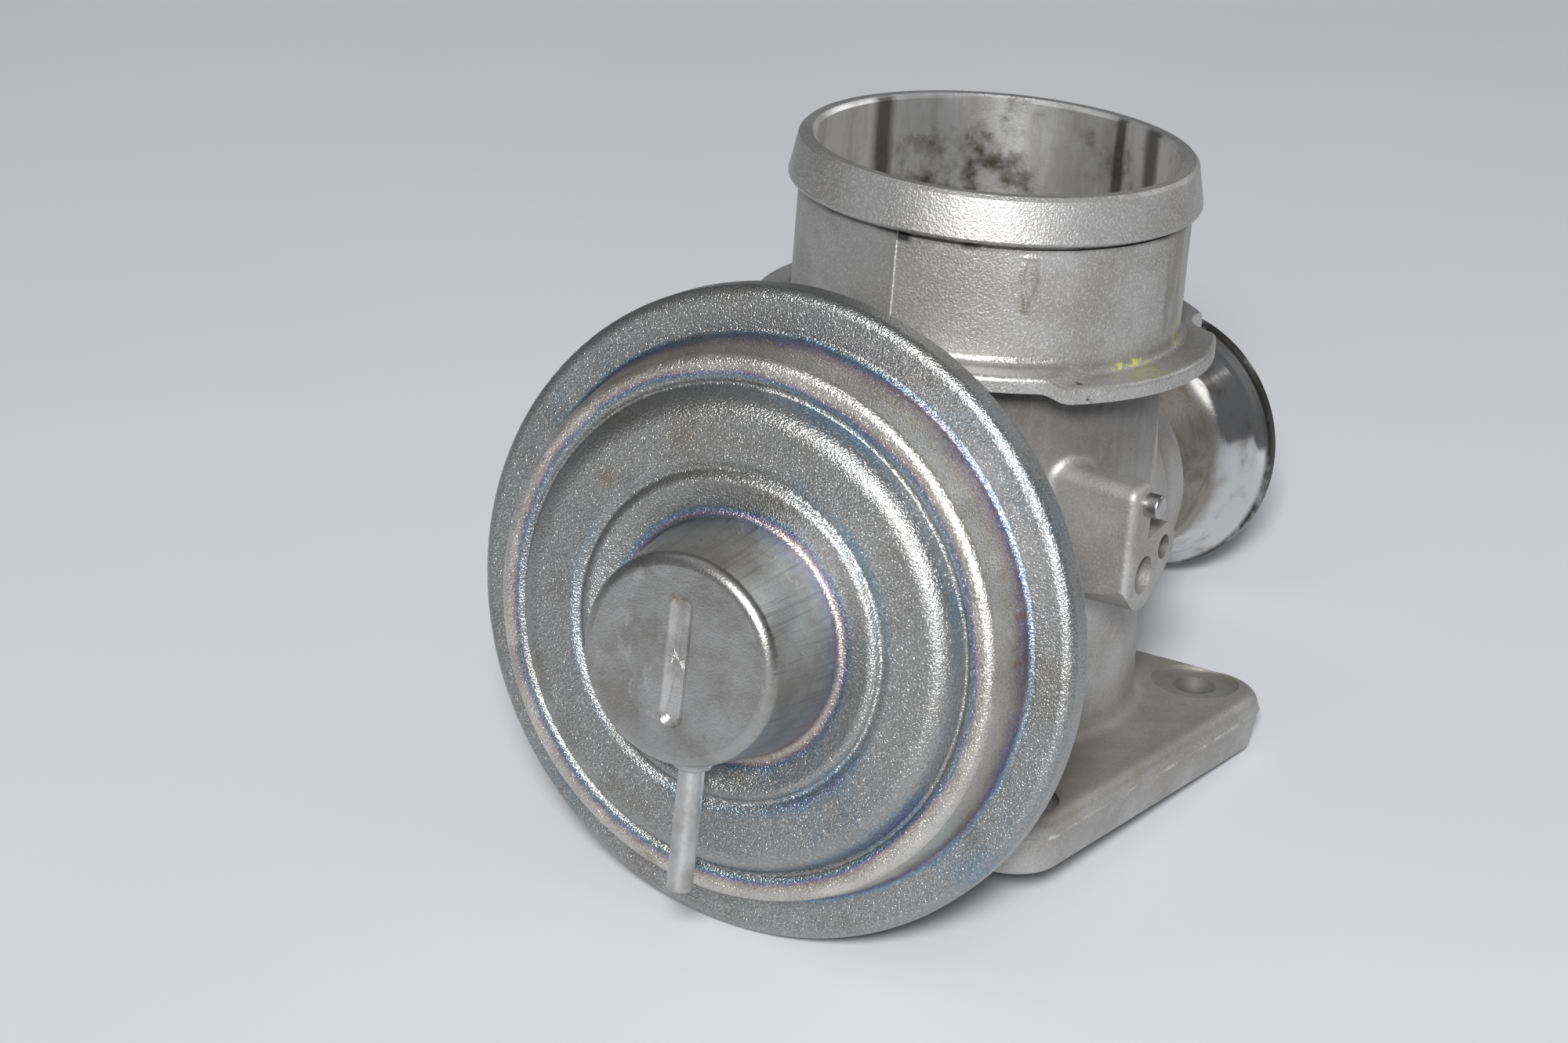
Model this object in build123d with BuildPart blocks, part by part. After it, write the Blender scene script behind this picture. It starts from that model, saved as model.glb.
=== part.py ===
"""Vacuum-operated exhaust gas recirculation (EGR) valve.

Frame: millimetres, +Z up along the hose spigot, origin at the centre of the outlet on the base flange's
underside. The diaphragm actuator faces -Y and the exhaust inlet pipe +Y, on one common axis that leans a few
degrees. Places along that axis are given as "s": zero at the crimped joint of the actuator, growing towards
the vacuum dome and falling towards the exhaust pipe.
"""
import os
from math import copysign, cos, hypot, radians, sin, sqrt, tan

from build123d import *

os.makedirs("parts", exist_ok=True)

# ---------------------------------------------------------------- driving dimensions
# Casting: throat, spigot and collar
housing_height = 100.0
hose_bore_radius = 29.0
neck_wall = 2.5
outlet_radius = 26.4
outlet_depth = 12.0
throat_radius = 26.0
body_wall = 3.4
body_draft_width = 0.9
body_top_overlap = 1.0
bore_taper_height = 8.0
bead_stand = 1.5
bead_top_stand = 0.3
bead_height = 7.6
bead_edge_radius = 0.8
bead_lip_fall = 0.6
collar_overhang = 5.95
collar_bottom = 69.0
collar_thickness = 2.6
collar_rise = 1.8
collar_step_start = 23.5
collar_step_end = 28.0
collar_edge_radius = 0.9
neck_root_radius = 1.2
seam_depth = 0.3
seam_azimuth = -92.2
seam_sweep = 78.0
seam_collar_gap = 0.5
undercut_width = 0.7
undercut_depth = 0.35
bore_chamfer = 0.7
foot_radius = 2.6

# Casting: base flange
flange_thickness = 9.0
flange_split = 6.0
flange_front = 48.2
flange_back = 31.8
flange_front_half_width = 39.2
flange_back_half_width = 46.3
flange_corner_radius = 9.0
flange_edge_radius = 2.4
flange_draft = 8.0
rear_bolt_side_edge = 12.1
rear_bolt_back_edge = 8.3
front_bolt_side_edge = 8.7
front_bolt_front_edge = 9.7
bolt_hole_radius = 3.6
spotface_radius = 7.3
spotface_depth = 0.8
ring_cord = 2.6
ring_wall = 1.0
ring_groove_gap = 0.1
ring_stand_proud = 0.4

# Actuator axis
axis_tilt = 3.656
disc_y = -62.545
disc_z = 39.355

# Actuator shells
sheet = 1.2
rim_radius = 50.4
rim_edge_inside_radius = 0.7
hem_width = 4.0
hem_inside_radius = 0.1
rim_face_s = 4.0
clamp_width = 6.9
step_side_width = 1.9
step_top_s = 12.6
step_top_width = 4.3
shoulder_width = 2.1
shoulder_foot_run = 1.0
shoulder_foot_rise = 0.6
plateau_s = 16.3
dish_lip_radius = 24.2
dish_lip_s = 17.0
dish_lip_run = 1.2
dish_lip_fall = 1.3
dish_flat_run = 2.6
dome_root_radius = 18.3
dome_root_s = 15.2
dome_tip_radius = 15.9
dome_tip_s = 31.4
slot_length = 20.2
slot_width = 4.0
slot_depth = 1.0
slot_taper = 45.0
slot_bulge_length = 19.6
slot_bulge_width = 4.4
cup_depth = 13.0
cup_mouth_inset = 0.9
cup_side_width = 7.1
cup_floor_bend = 2.5
cup_mouth_bend = 1.5
cup_hole_radius = 4.4
vent_inset = 6.0
vent_radius = 2.0

# Diaphragm, piston and spring
diaphragm_thickness = 1.2
lift = 8.0
stop_gap = 0.3
plate_thickness = 1.0
plate_edge_radius = 0.4
rear_plate_radius = 24.0
rear_plate_gap = 0.8
piston_bend = 2.2
loop_radius = 3.2
loop_flat = 1.4
loop_gap = 0.8
loop_top_s = 5.3
loop_lip_bend = 0.2
bead_gap = 1.3
spring_wire_radius = 1.0
spring_mean_radius = 11.0
spring_seat_margin = 1.2
spring_turns = 4.5
spring_end_gap = 0.05
spring_hub_radius = 9.6
spring_hub_lean = 0.4
spring_hub_width = 1.6
spring_hub_height = 2.2
soft_gap = 0.3

# Stem, poppet and seat
stem_radius = 3.0
stem_end_radius = 2.5
stem_collar_radius = 4.0
stem_collar_length = 1.5
stem_end_chamfer = 0.4
stem_nut_overrun = 1.0
stem_tail = 0.3
clearance = 0.2
running_gap = 0.05
press_gap = 0.02
nut_height = 2.6
nut_across_flats = 8.0
poppet_overlap = 2.1
poppet_thickness = 3.4
poppet_rim_height = 0.8
poppet_hub_radius = 4.6
poppet_hub_height = 2.0
poppet_hub_chamfer = 0.4
poppet_setback = 0.5
seat_setback = 2.7
seat_depth = 5.0
seat_bore_radius = 12.5
seat_step = 0.3
seat_bevel = 1.5
pocket_gap = 1.8
seat_wall = 2.4

# Guide, seals, gasket and screws
guide_radius = 6.0
guide_setback = 2.5
scraper_length = 3.0
seal_length = 4.2
guide_wall = 3.0
seal_radius = 8.0
gasket_thickness = 1.0
gasket_edge = 0.5
mount_flange_radius = 24.0
mount_flange_thickness = 6.0
mount_front_chamfer = 0.8
mount_back_chamfer = 1.2
actuator_neck_radius = 14.0
actuator_neck_chamfer = 2.5
actuator_neck_taper = 2.0
neck_root_depth = 8.3
web_thickness = 5.0
web_front_inset = 3.0
web_front_lean = 2.0
web_top_drop = 4.0
web_overlap = 1.0
screw_edge = 6.0
screw_count = 3
screw_radius = 2.5
screw_length = 9.0
screw_head_radius = 4.0
screw_head_height = 2.6
screw_edge_radius = 0.6
screw_end_gap = 1.0
screw_socket_part = 0.6

# Exhaust inlet pipe
pipe_radius = 18.3
pipe_wall = 1.5
pipe_seal_thickness = 1.0
pipe_seal_setback = 0.5
inlet_boss_wall = 2.3
inlet_boss_length = 20.0
inlet_root_depth = 7.3
inlet_root_flare = 3.4
inlet_boss_taper = 0.5
inlet_boss_taper_end = 6.0
inlet_boss_chamfer = 1.0
pipe_straight = 21.0
flare_length = 12.5
flare_width = 5.3
flare_lip = 2.4
flare_bend_run = 2.0
flare_bend_rise = 1.6
flare_bends = (10.0, 2.0, 1.6)

# Vacuum nipple
nipple_radius = 2.0
nipple_wall = 0.7
nipple_s = 23.0
nipple_reach = 38.0
nipple_collar_radius = 3.0
nipple_collar_stand = 0.3
nipple_collar_land = 0.2
nipple_stub_radius = 1.7
nipple_tip_chamfer = 0.3

# Side pad
pad_reach = 9.3
pad_front_y = -21.2
pad_back_y = -13.9
pad_top = 56.3
pad_length = 17.6
pad_turn = 9.0
pad_edge_radius = 1.4
pad_crown_radius = 2.2
pad_root_radius = 2.0
pad_hole_radius = 3.1
pad_hole_depth = 11.0
pad_hole_y = -15.5
pad_hole_z = 40.9
pad_boss_radius = 5.7
pad_pin_radius = 1.9
pad_pin_y = -16.6
pad_pin_z = 53.0
pad_pin_reach = 2.4
pad_pin_depth = 6.0
pad_pin_edge_radius = 0.5
lug_radius = 4.0
lug_y = -8.4
lug_z = 43.6
lug_hole_radius = 2.0
lug_hole_depth = 8.0

# Side flats of the casting
flat_inset = 0.5
flat_front_y = -4.0
flat_back_y = 10.5
flat_draft = 3.8

# ---------------------------------------------------------------- the common axis
lean = radians(axis_tilt)
axis_origin = Vector(0, disc_y, disc_z)
axis_direction = Vector(0, -cos(lean), sin(lean))
valve_axis = Axis((0, disc_y, disc_z), (0, -cos(lean), sin(lean)))
face_plane = Plane(origin=axis_origin, x_dir=(1, 0, 0), z_dir=axis_direction)
# Profiles on this plane are drawn as (radius, s) and turned round the valve's axis.
profile_plane = Plane(origin=axis_origin, x_dir=(1, 0, 0), z_dir=(0, -sin(lean), -cos(lean)))


def station(s):
    """The plane square to the valve's axis at s, facing the dome."""
    return face_plane.offset(s)


def bent_sheet(points, radii, thickness):
    """Draw the outline of a sheet bent along points, with its thickness to their right (left if negative).

    A corner of the far side lies on its bend's bisector, and both sides of a bend share one centre.
    """
    near = [Vector(*point) for point in points]
    runs = [(end - start).normalized() for start, end in zip(near, near[1:])]
    rights = [Vector(run.Y, -run.X) for run in runs]
    far = [near[0] + rights[0] * thickness]
    far_radii = []
    for i, radius in enumerate(radii):
        before, after = rights[i], rights[i + 1]
        far.append(near[i + 1] + (before + after) * (thickness / (1 + before.dot(after))))
        turn = runs[i].cross(runs[i + 1]).Z
        far_radii.append(radius + copysign(thickness, thickness * turn))
    far.append(near[-1] + rights[-1] * thickness)
    FilletPolyline(*near, radius=radii)
    FilletPolyline(*far, radius=far_radii)
    Line(near[0], far[0])
    Line(near[-1], far[-1])


def write(piece, name):
    """Label a finished piece and write its STEP file."""
    piece.label = name
    export_step(piece, f"parts/{name}.step")


# Derived radii and places of the casting
body_top_radius = throat_radius + body_wall
body_bottom_radius = body_top_radius + body_draft_width
neck_radius = hose_bore_radius + neck_wall
bead_radius = neck_radius + bead_stand
bead_top_radius = neck_radius + bead_top_stand
collar_radius = neck_radius + collar_overhang
collar_blank = 1.2 * collar_radius
bore_taper_top = collar_bottom + bore_taper_height
rear_bolt_x = flange_back_half_width - rear_bolt_side_edge
rear_bolt_y = flange_back - rear_bolt_back_edge
front_bolt_x = flange_front_half_width - front_bolt_side_edge
front_bolt_y = front_bolt_front_edge - flange_front
ring_groove_half_width = ring_cord / 2 + ring_groove_gap
ring_groove_radius = outlet_radius + ring_wall + ring_groove_half_width
pad_end_x = body_top_radius + pad_reach
pad_root_x = pad_end_x - pad_length
flat_half_width = body_bottom_radius - flat_inset

# Derived radii of the actuator, from the rim inwards
step_root_radius = rim_radius - clamp_width
step_top_radius = step_root_radius - step_side_width
shoulder_radius = step_top_radius - step_top_width
plateau_radius = shoulder_radius - shoulder_width
rim_edge_radius = sheet + rim_edge_inside_radius
cup_mouth_radius = step_root_radius - cup_mouth_inset
cup_floor_radius = cup_mouth_radius - cup_side_width
vent_circle_radius = cup_floor_radius - vent_inset
loop_outer_radius = step_root_radius - sheet - diaphragm_thickness - loop_gap
loop_inner_radius = loop_outer_radius - 2 * loop_radius - loop_flat
piston_radius = loop_inner_radius - diaphragm_thickness - soft_gap
screw_circle_radius = mount_flange_radius - screw_edge

# Derived radii of the exhaust side
inlet_boss_radius = pipe_radius + inlet_boss_wall
flare_radius = pipe_radius + flare_width
seat_outer_radius = pipe_radius - seat_step
poppet_radius = seat_bore_radius + poppet_overlap
pocket_radius = poppet_radius + pocket_gap

# Derived places along the axis
throat_s = disc_y / cos(lean)
guide_end_s = throat_s + throat_radius + guide_setback
neck_root_s = throat_s + throat_radius - neck_root_depth
inlet_root_s = throat_s - inlet_root_depth
seat_face_s = throat_s - throat_radius + seat_setback
inlet_boss_end_s = seat_face_s - inlet_boss_length
flare_start_s = inlet_boss_end_s - pipe_straight
flare_end_s = flare_start_s - flare_length
cup_outer_s = -cup_depth
cup_inner_s = cup_outer_s + sheet
mount_face_s = cup_outer_s - gasket_thickness
mount_back_s = mount_face_s - mount_flange_thickness
guide_start_s = mount_face_s - seal_length
screw_head_s = cup_inner_s + screw_head_height
rear_plate_s = screw_head_s + rear_plate_gap
diaphragm_s = rear_plate_s + plate_thickness
piston_s = diaphragm_s + diaphragm_thickness
spring_seat_s = piston_s + plate_thickness
stem_nut_s = spring_seat_s + plate_thickness
stem_top_s = stem_nut_s + nut_height + stem_nut_overrun
poppet_back_s = seat_face_s - seat_bevel - poppet_setback
poppet_front_s = poppet_back_s + poppet_thickness + poppet_hub_height
stem_bottom_s = poppet_back_s - nut_height - stem_tail
seat_back_s = seat_face_s - seat_depth
pipe_end_s = seat_back_s - pipe_seal_thickness
rim_hem_s = rim_face_s - sheet - 2 * diaphragm_thickness - 2 * sheet
cup_rim_s = rim_hem_s + sheet
bead_seat_s = cup_rim_s + sheet
seam_bottom = collar_bottom + collar_thickness + collar_rise + seam_collar_gap
bead_bottom = housing_height - bead_height
seam_top = bead_bottom - undercut_width
scraper_end_s = guide_end_s - scraper_length
nipple_start = dome_root_radius + nipple_collar_stand
parting_z = disc_z + disc_y * tan(lean)
web_front_y = disc_y - mount_back_s * cos(lean)
seam_turn = radians(seam_azimuth - seam_sweep)
seam_plane = Plane(
    origin=(0, 0, 0),
    x_dir=(cos(seam_turn), sin(seam_turn), 0),
    z_dir=(sin(seam_turn), -cos(seam_turn), 0),
)
# The nipple leaves the dome straight down, square to the valve's axis.
nipple_plane = Plane(
    origin=axis_origin + axis_direction * nipple_s,
    x_dir=(1, 0, 0),
    z_dir=(0, -sin(lean), -cos(lean)),
)

# ---------------------------------------------------------------- side pad (cast with the housing)
with BuildPart() as side_pad:
    # Seen from the end: a column over the boss of the big hole, drawn out to the lug behind it.
    with BuildSketch(Plane.YZ.offset(pad_root_x)):
        with Locations((pad_hole_y, pad_hole_z)):
            Circle(pad_boss_radius)
        with Locations((lug_y, lug_z)):
            Circle(lug_radius)
        make_hull()
        with Locations(((pad_front_y + pad_back_y) / 2, (pad_hole_z + pad_top) / 2)):
            Rectangle(pad_back_y - pad_front_y, pad_top - pad_hole_z)
    extrude(amount=pad_end_x - pad_root_x)
    # Seen from above: the front face turns back towards the root.
    with BuildSketch(Plane.XY.offset(pad_hole_z - pad_boss_radius)):
        with BuildLine():
            Polyline(
                (pad_end_x, pad_front_y),
                (pad_end_x, lug_y + lug_radius),
                (pad_root_x, lug_y + lug_radius),
                (pad_root_x, pad_front_y + (pad_end_x - pad_root_x) * tan(radians(pad_turn))),
                close=True,
            )
        make_face()
    extrude(amount=pad_top - pad_hole_z + pad_boss_radius, mode=Mode.INTERSECT)
    crown = faces().sort_by(Axis.Z)[-1]
    fillet(crown.edges().filter_by(lambda edge: abs((edge % 0.5).X) > 0.9), pad_crown_radius)
    end_face = faces().sort_by(Axis.X)[-1]
    fillet(end_face.edges().sort_by(lambda edge: (edge @ 0.5).Y)[0], pad_edge_radius)

# ---------------------------------------------------------------- wavy collar (cast with the housing)
with BuildPart() as collar_ring:
    # The front half is a cylinder cut by a slab whose section steps up in the middle.
    with BuildSketch(Plane.XZ):
        with BuildLine():
            for level in (collar_bottom, collar_bottom + collar_thickness):
                high = level + collar_rise
                for side in (-1, 1):
                    Line((side * collar_blank, level), (side * collar_step_end, level))
                    Spline(
                        (side * collar_step_end, level),
                        (side * collar_step_start, high),
                        tangents=((-side, 0), (-side, 0)),
                    )
                Line((-collar_step_start, high), (collar_step_start, high))
            for side in (-1, 1):
                Line(
                    (side * collar_blank, collar_bottom),
                    (side * collar_blank, collar_bottom + collar_thickness),
                )
        make_face()
    extrude(amount=collar_blank)
    with BuildSketch(Plane.XY.offset(collar_bottom - 1)):
        Circle(collar_radius)
    extrude(amount=collar_thickness + collar_rise + 2, mode=Mode.INTERSECT)
    with BuildSketch(Plane.XY.offset(collar_bottom)):
        Circle(collar_radius)
        with Locations((0, -collar_blank)):
            Rectangle(3 * collar_blank, 2 * collar_blank, mode=Mode.SUBTRACT)
    extrude(amount=collar_thickness)
    # Round the upper rim of the collar all the way round.
    upper = faces().filter_by(GeomType.CYLINDER).edges().filter_by(
        lambda edge: (edge @ 0.5).Z > collar_bottom + collar_rise + 0.2
    )
    fillet(upper, collar_edge_radius)

# ---------------------------------------------------------------- valve housing (casting)
with BuildPart() as valve_housing:
    # Base flange, drafted both ways from the casting's parting line.
    with BuildSketch(Plane.XY.offset(flange_split)) as flange_outline:
        with BuildLine():
            Polyline(
                (flange_back_half_width, flange_back),
                (-flange_back_half_width, flange_back),
                (-flange_front_half_width, -flange_front),
                (flange_front_half_width, -flange_front),
                close=True,
            )
        make_face()
        fillet(flange_outline.vertices(), flange_corner_radius)
    extrude(amount=flange_thickness - flange_split, taper=flange_draft)
    extrude(flange_outline.sketch, amount=-flange_split, taper=flange_draft)
    fillet(faces().sort_by(Axis.Z)[-1].edges(), flange_edge_radius)

    # Body, neck and bead, turned round the spigot's axis.
    with BuildSketch(Plane.XZ):
        with BuildLine():
            Polyline(
                (0, housing_height),
                (0, 0),
                (body_bottom_radius, 0),
                (body_bottom_radius, flange_split),
                (body_bottom_radius + foot_radius, flange_split),
                (body_bottom_radius + foot_radius, flange_thickness),
            )
            RadiusArc(
                (body_bottom_radius + foot_radius, flange_thickness),
                (body_bottom_radius, flange_thickness + foot_radius),
                foot_radius,
            )
            Polyline(
                (body_bottom_radius, flange_thickness + foot_radius),
                (body_top_radius, collar_bottom + body_top_overlap),
                (neck_radius, collar_bottom + body_top_overlap),
                (neck_radius, seam_top),
                (neck_radius - undercut_depth, seam_top),
                (neck_radius - undercut_depth, bead_bottom),
                (bead_radius - bead_edge_radius, bead_bottom),
            )
            RadiusArc(
                (bead_radius - bead_edge_radius, bead_bottom),
                (bead_radius, bead_bottom + bead_edge_radius),
                -bead_edge_radius,
            )
            Polyline(
                (bead_radius, bead_bottom + bead_edge_radius),
                (bead_top_radius, housing_height - bead_lip_fall),
                (bead_top_radius - bead_lip_fall, housing_height),
                (0, housing_height),
            )
        make_face()
    revolve(axis=Axis.Z)
    # The foot is cut off flush with the flange's back.
    with BuildSketch(Plane.XY.offset(flange_split)):
        with Locations((0, flange_back + foot_radius)):
            Rectangle(2 * flange_back, 2 * foot_radius)
    extrude(amount=flange_thickness - flange_split + foot_radius, mode=Mode.SUBTRACT)
    add(collar_ring.part)
    neck_root = edges().filter_by(
        lambda edge: collar_bottom + 2 < (edge @ 0.5).Z < collar_bottom + 6
        and abs(hypot((edge @ 0.5).X, (edge @ 0.5).Y) - neck_radius) < 0.05
        and abs((edge % 0.5).Z) < 0.9
    )
    fillet(neck_root, neck_root_radius)

    # Side flats, drafted both ways from the parting line at the height of the valve's axis.
    with BuildSketch(Plane.XY.offset(parting_z)) as flat_plan:
        with Locations((0, (flat_back_y + flat_front_y) / 2)):
            Rectangle(2 * flat_half_width, flat_back_y - flat_front_y)
    extrude(amount=collar_bottom - parting_z + 1, taper=flat_draft)
    extrude(flat_plan.sketch, amount=flange_thickness - parting_z, taper=flat_draft)

    # Exhaust inlet boss with its conical root, on the valve's axis.
    with BuildSketch(profile_plane):
        with BuildLine():
            Polyline(
                (0, inlet_root_s),
                (inlet_boss_radius + inlet_root_flare, inlet_root_s),
                (inlet_boss_radius + inlet_root_flare, seat_back_s),
                (inlet_boss_radius + inlet_boss_taper, pipe_end_s - inlet_boss_taper_end),
                (inlet_boss_radius, inlet_boss_end_s + inlet_boss_chamfer),
                (inlet_boss_radius - inlet_boss_chamfer, inlet_boss_end_s),
                (0, inlet_boss_end_s),
                close=True,
            )
        make_face()
    revolve(axis=valve_axis)

    # Actuator neck with its round flange.
    with BuildSketch(profile_plane):
        with BuildLine():
            Polyline(
                (0, mount_face_s),
                (mount_flange_radius - mount_front_chamfer, mount_face_s),
                (mount_flange_radius, mount_face_s - mount_front_chamfer),
                (mount_flange_radius, mount_back_s + mount_back_chamfer),
                (mount_flange_radius - mount_back_chamfer, mount_back_s),
                (actuator_neck_radius + actuator_neck_chamfer, mount_back_s),
                (actuator_neck_radius, mount_back_s - actuator_neck_chamfer),
                (actuator_neck_radius + actuator_neck_taper, neck_root_s),
                (0, neck_root_s),
                close=True,
            )
        make_face()
    revolve(axis=valve_axis)

    # Web that stiffens the neck from the base flange.
    with BuildSketch(Plane.YZ):
        with BuildLine():
            Polyline(
                (web_front_y, disc_z - mount_flange_radius + web_front_inset),
                (web_front_y + web_front_lean, flange_thickness - web_overlap),
                (-throat_radius - web_overlap, flange_thickness - web_overlap),
                (-throat_radius - web_overlap, disc_z - web_top_drop),
                (web_front_y, disc_z - web_top_drop),
                close=True,
            )
        make_face()
    extrude(amount=web_thickness / 2, both=True)
    add(side_pad.part)
    pad_root = edges(Select.LAST).filter_by(
        lambda edge: edge.geom_type != GeomType.LINE
        and (edge @ 0.5).X > throat_radius / 2
        and abs(hypot((edge @ 0.5).X, (edge @ 0.5).Y) - body_top_radius - 0.3) < 0.5
    )
    fillet(pad_root, pad_root_radius)

    # One side of the neck lies a little lower, behind the casting's seam.
    with BuildSketch(seam_plane):
        with Locations((neck_radius + bead_stand - seam_depth, (seam_bottom + seam_top) / 2)):
            Rectangle(2 * bead_stand, seam_top - seam_bottom)
    revolve(axis=Axis.Z, revolution_arc=seam_sweep, mode=Mode.SUBTRACT)

    # Throat and hose bore.
    with BuildSketch(Plane.XZ):
        with BuildLine():
            Polyline(
                (0, -1),
                (outlet_radius, -1),
                (outlet_radius, outlet_depth),
                (throat_radius, outlet_depth + outlet_radius - throat_radius),
                (throat_radius, collar_bottom),
                (hose_bore_radius, bore_taper_top),
                (hose_bore_radius, housing_height - bore_chamfer),
                (hose_bore_radius + bore_chamfer, housing_height),
                (hose_bore_radius + bore_chamfer, housing_height + 1),
                (0, housing_height + 1),
                close=True,
            )
        make_face()
    revolve(axis=Axis.Z, mode=Mode.SUBTRACT)

    # Inner bosses that carry the seat and the guide in the throat's wall.
    with BuildSketch(station(seat_face_s)):
        Circle(seat_outer_radius + seat_wall)
    extrude(amount=inlet_boss_end_s - seat_face_s)
    with BuildSketch(station(mount_back_s)):
        Circle(guide_radius + guide_wall)
    extrude(amount=scraper_end_s - mount_back_s)

    # Poppet pocket, seat bore and pipe socket.
    with BuildSketch(station(seat_face_s)):
        Circle(pocket_radius)
    extrude(amount=2 * lift, mode=Mode.SUBTRACT)
    with BuildSketch(station(seat_face_s)):
        Circle(seat_outer_radius + press_gap)
    extrude(amount=pipe_end_s - seat_face_s, mode=Mode.SUBTRACT)
    with BuildSketch(station(pipe_end_s)):
        Circle(pipe_radius + press_gap)
    extrude(amount=inlet_boss_end_s - pipe_end_s - 1, mode=Mode.SUBTRACT)

    # Stem guide bore and the seal's counterbore.
    with BuildSketch(station(mount_face_s)):
        Circle(seal_radius + press_gap)
    extrude(amount=guide_start_s - mount_face_s, mode=Mode.SUBTRACT)
    with BuildSketch(station(guide_start_s)):
        Circle(guide_radius + press_gap)
    extrude(amount=scraper_end_s - guide_start_s - 1, mode=Mode.SUBTRACT)

    # Screw holes of the actuator.
    with BuildSketch(station(mount_face_s)):
        with PolarLocations(screw_circle_radius, screw_count, start_angle=90):
            Circle(screw_radius)
    extrude(amount=-screw_length, mode=Mode.SUBTRACT)

    # Base flange: bolt holes with spotfaces, and the seal's groove.
    with Locations(
        (rear_bolt_x, rear_bolt_y, flange_thickness),
        (-rear_bolt_x, rear_bolt_y, flange_thickness),
        (front_bolt_x, front_bolt_y, flange_thickness),
        (-front_bolt_x, front_bolt_y, flange_thickness),
    ):
        CounterBoreHole(bolt_hole_radius, spotface_radius, spotface_depth)
    with BuildSketch(Plane.XY):
        Circle(ring_groove_radius + ring_groove_half_width)
        Circle(ring_groove_radius - ring_groove_half_width, mode=Mode.SUBTRACT)
    extrude(amount=ring_cord - ring_stand_proud, mode=Mode.SUBTRACT)

    # Pad holes.
    for hole_y, hole_z, hole_radius, depth in (
        (pad_hole_y, pad_hole_z, pad_hole_radius, pad_hole_depth),
        (pad_pin_y, pad_pin_z, pad_pin_radius + press_gap, pad_pin_depth),
        (lug_y, lug_z, lug_hole_radius, lug_hole_depth),
    ):
        with BuildSketch(Plane.YZ.offset(pad_end_x)):
            with Locations((hole_y, hole_z)):
                Circle(hole_radius)
        extrude(amount=-depth, mode=Mode.SUBTRACT)
write(valve_housing.part, "valve_housing")

# ---------------------------------------------------------------- actuator front shell
# Outside radii of the drawn sheet's bends, from the dome's end to the hem.
bend_radii = (
    sheet + 0.7,
    1.2,
    sheet + 0.2,
    0.6,
    sheet + 0.4,
    sheet + 2.4,
    0.5,
    sheet + 0.1,
    sheet + 0.4,
    1.0,
    rim_edge_radius,
    sheet + hem_inside_radius,
)
with BuildPart() as diaphragm_cover:
    with BuildSketch(profile_plane):
        with BuildLine():
            bent_sheet(
                (
                    (0, dome_tip_s),
                    (dome_tip_radius, dome_tip_s),
                    (dome_root_radius, dome_root_s),
                    (dish_lip_radius, dish_lip_s),
                    (dish_lip_radius + dish_lip_run, dish_lip_s - dish_lip_fall),
                    (dish_lip_radius + dish_flat_run, plateau_s),
                    (plateau_radius, plateau_s),
                    (shoulder_radius, step_top_s - shoulder_foot_rise),
                    (shoulder_radius + shoulder_foot_run, step_top_s),
                    (step_top_radius, step_top_s),
                    (step_root_radius, rim_face_s),
                    (rim_radius, rim_face_s),
                    (rim_radius, rim_hem_s),
                    (rim_radius - hem_width, rim_hem_s),
                ),
                bend_radii,
                sheet,
            )
        make_face()
    revolve(axis=valve_axis)
    # Slot pressed into the dome's end: a bulge inside, a groove outside.
    with BuildSketch(station(dome_tip_s - sheet)):
        SlotOverall(slot_bulge_length, slot_bulge_width, rotation=90)
    extrude(amount=-slot_depth)
    with BuildSketch(station(dome_tip_s)):
        SlotOverall(slot_length, slot_width, rotation=90)
    extrude(amount=-slot_depth, taper=slot_taper, mode=Mode.SUBTRACT)
    with BuildSketch(nipple_plane):
        Circle(nipple_stub_radius + press_gap)
    extrude(amount=nipple_reach, mode=Mode.SUBTRACT)
write(diaphragm_cover.part, "diaphragm_cover")

# ---------------------------------------------------------------- vacuum nipple
with BuildPart() as vacuum_nipple:
    # The brazed collar follows the dome's cone.
    with BuildSketch(nipple_plane):
        Circle(nipple_collar_radius)
    extrude(amount=nipple_start)
    collar_edge = edges().filter_by(GeomType.CIRCLE).sort_by(Axis.Z)[0]
    fillet(collar_edge, nipple_collar_radius - nipple_radius - nipple_collar_land)
    with BuildSketch(profile_plane):
        with BuildLine():
            Polyline(
                (0, dome_tip_s),
                (dome_tip_radius, dome_tip_s),
                (dome_root_radius, dome_root_s),
                (0, dome_root_s),
                close=True,
            )
        make_face()
    revolve(axis=valve_axis, mode=Mode.SUBTRACT)
    # The thinner stub goes through the dome's wall.
    with BuildSketch(nipple_plane.offset(dome_tip_radius - sheet)):
        Circle(nipple_stub_radius)
    extrude(amount=nipple_start - dome_tip_radius + sheet)
    with BuildSketch(nipple_plane.offset(nipple_start)):
        Circle(nipple_radius)
    extrude(amount=nipple_reach - nipple_start)
    chamfer(edges().filter_by(GeomType.CIRCLE).sort_by(Axis.Z)[0], nipple_tip_chamfer)
    with BuildSketch(nipple_plane):
        Circle(nipple_radius - nipple_wall)
    extrude(amount=nipple_reach + 1, mode=Mode.SUBTRACT)
write(vacuum_nipple.part, "vacuum_nipple")

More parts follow.
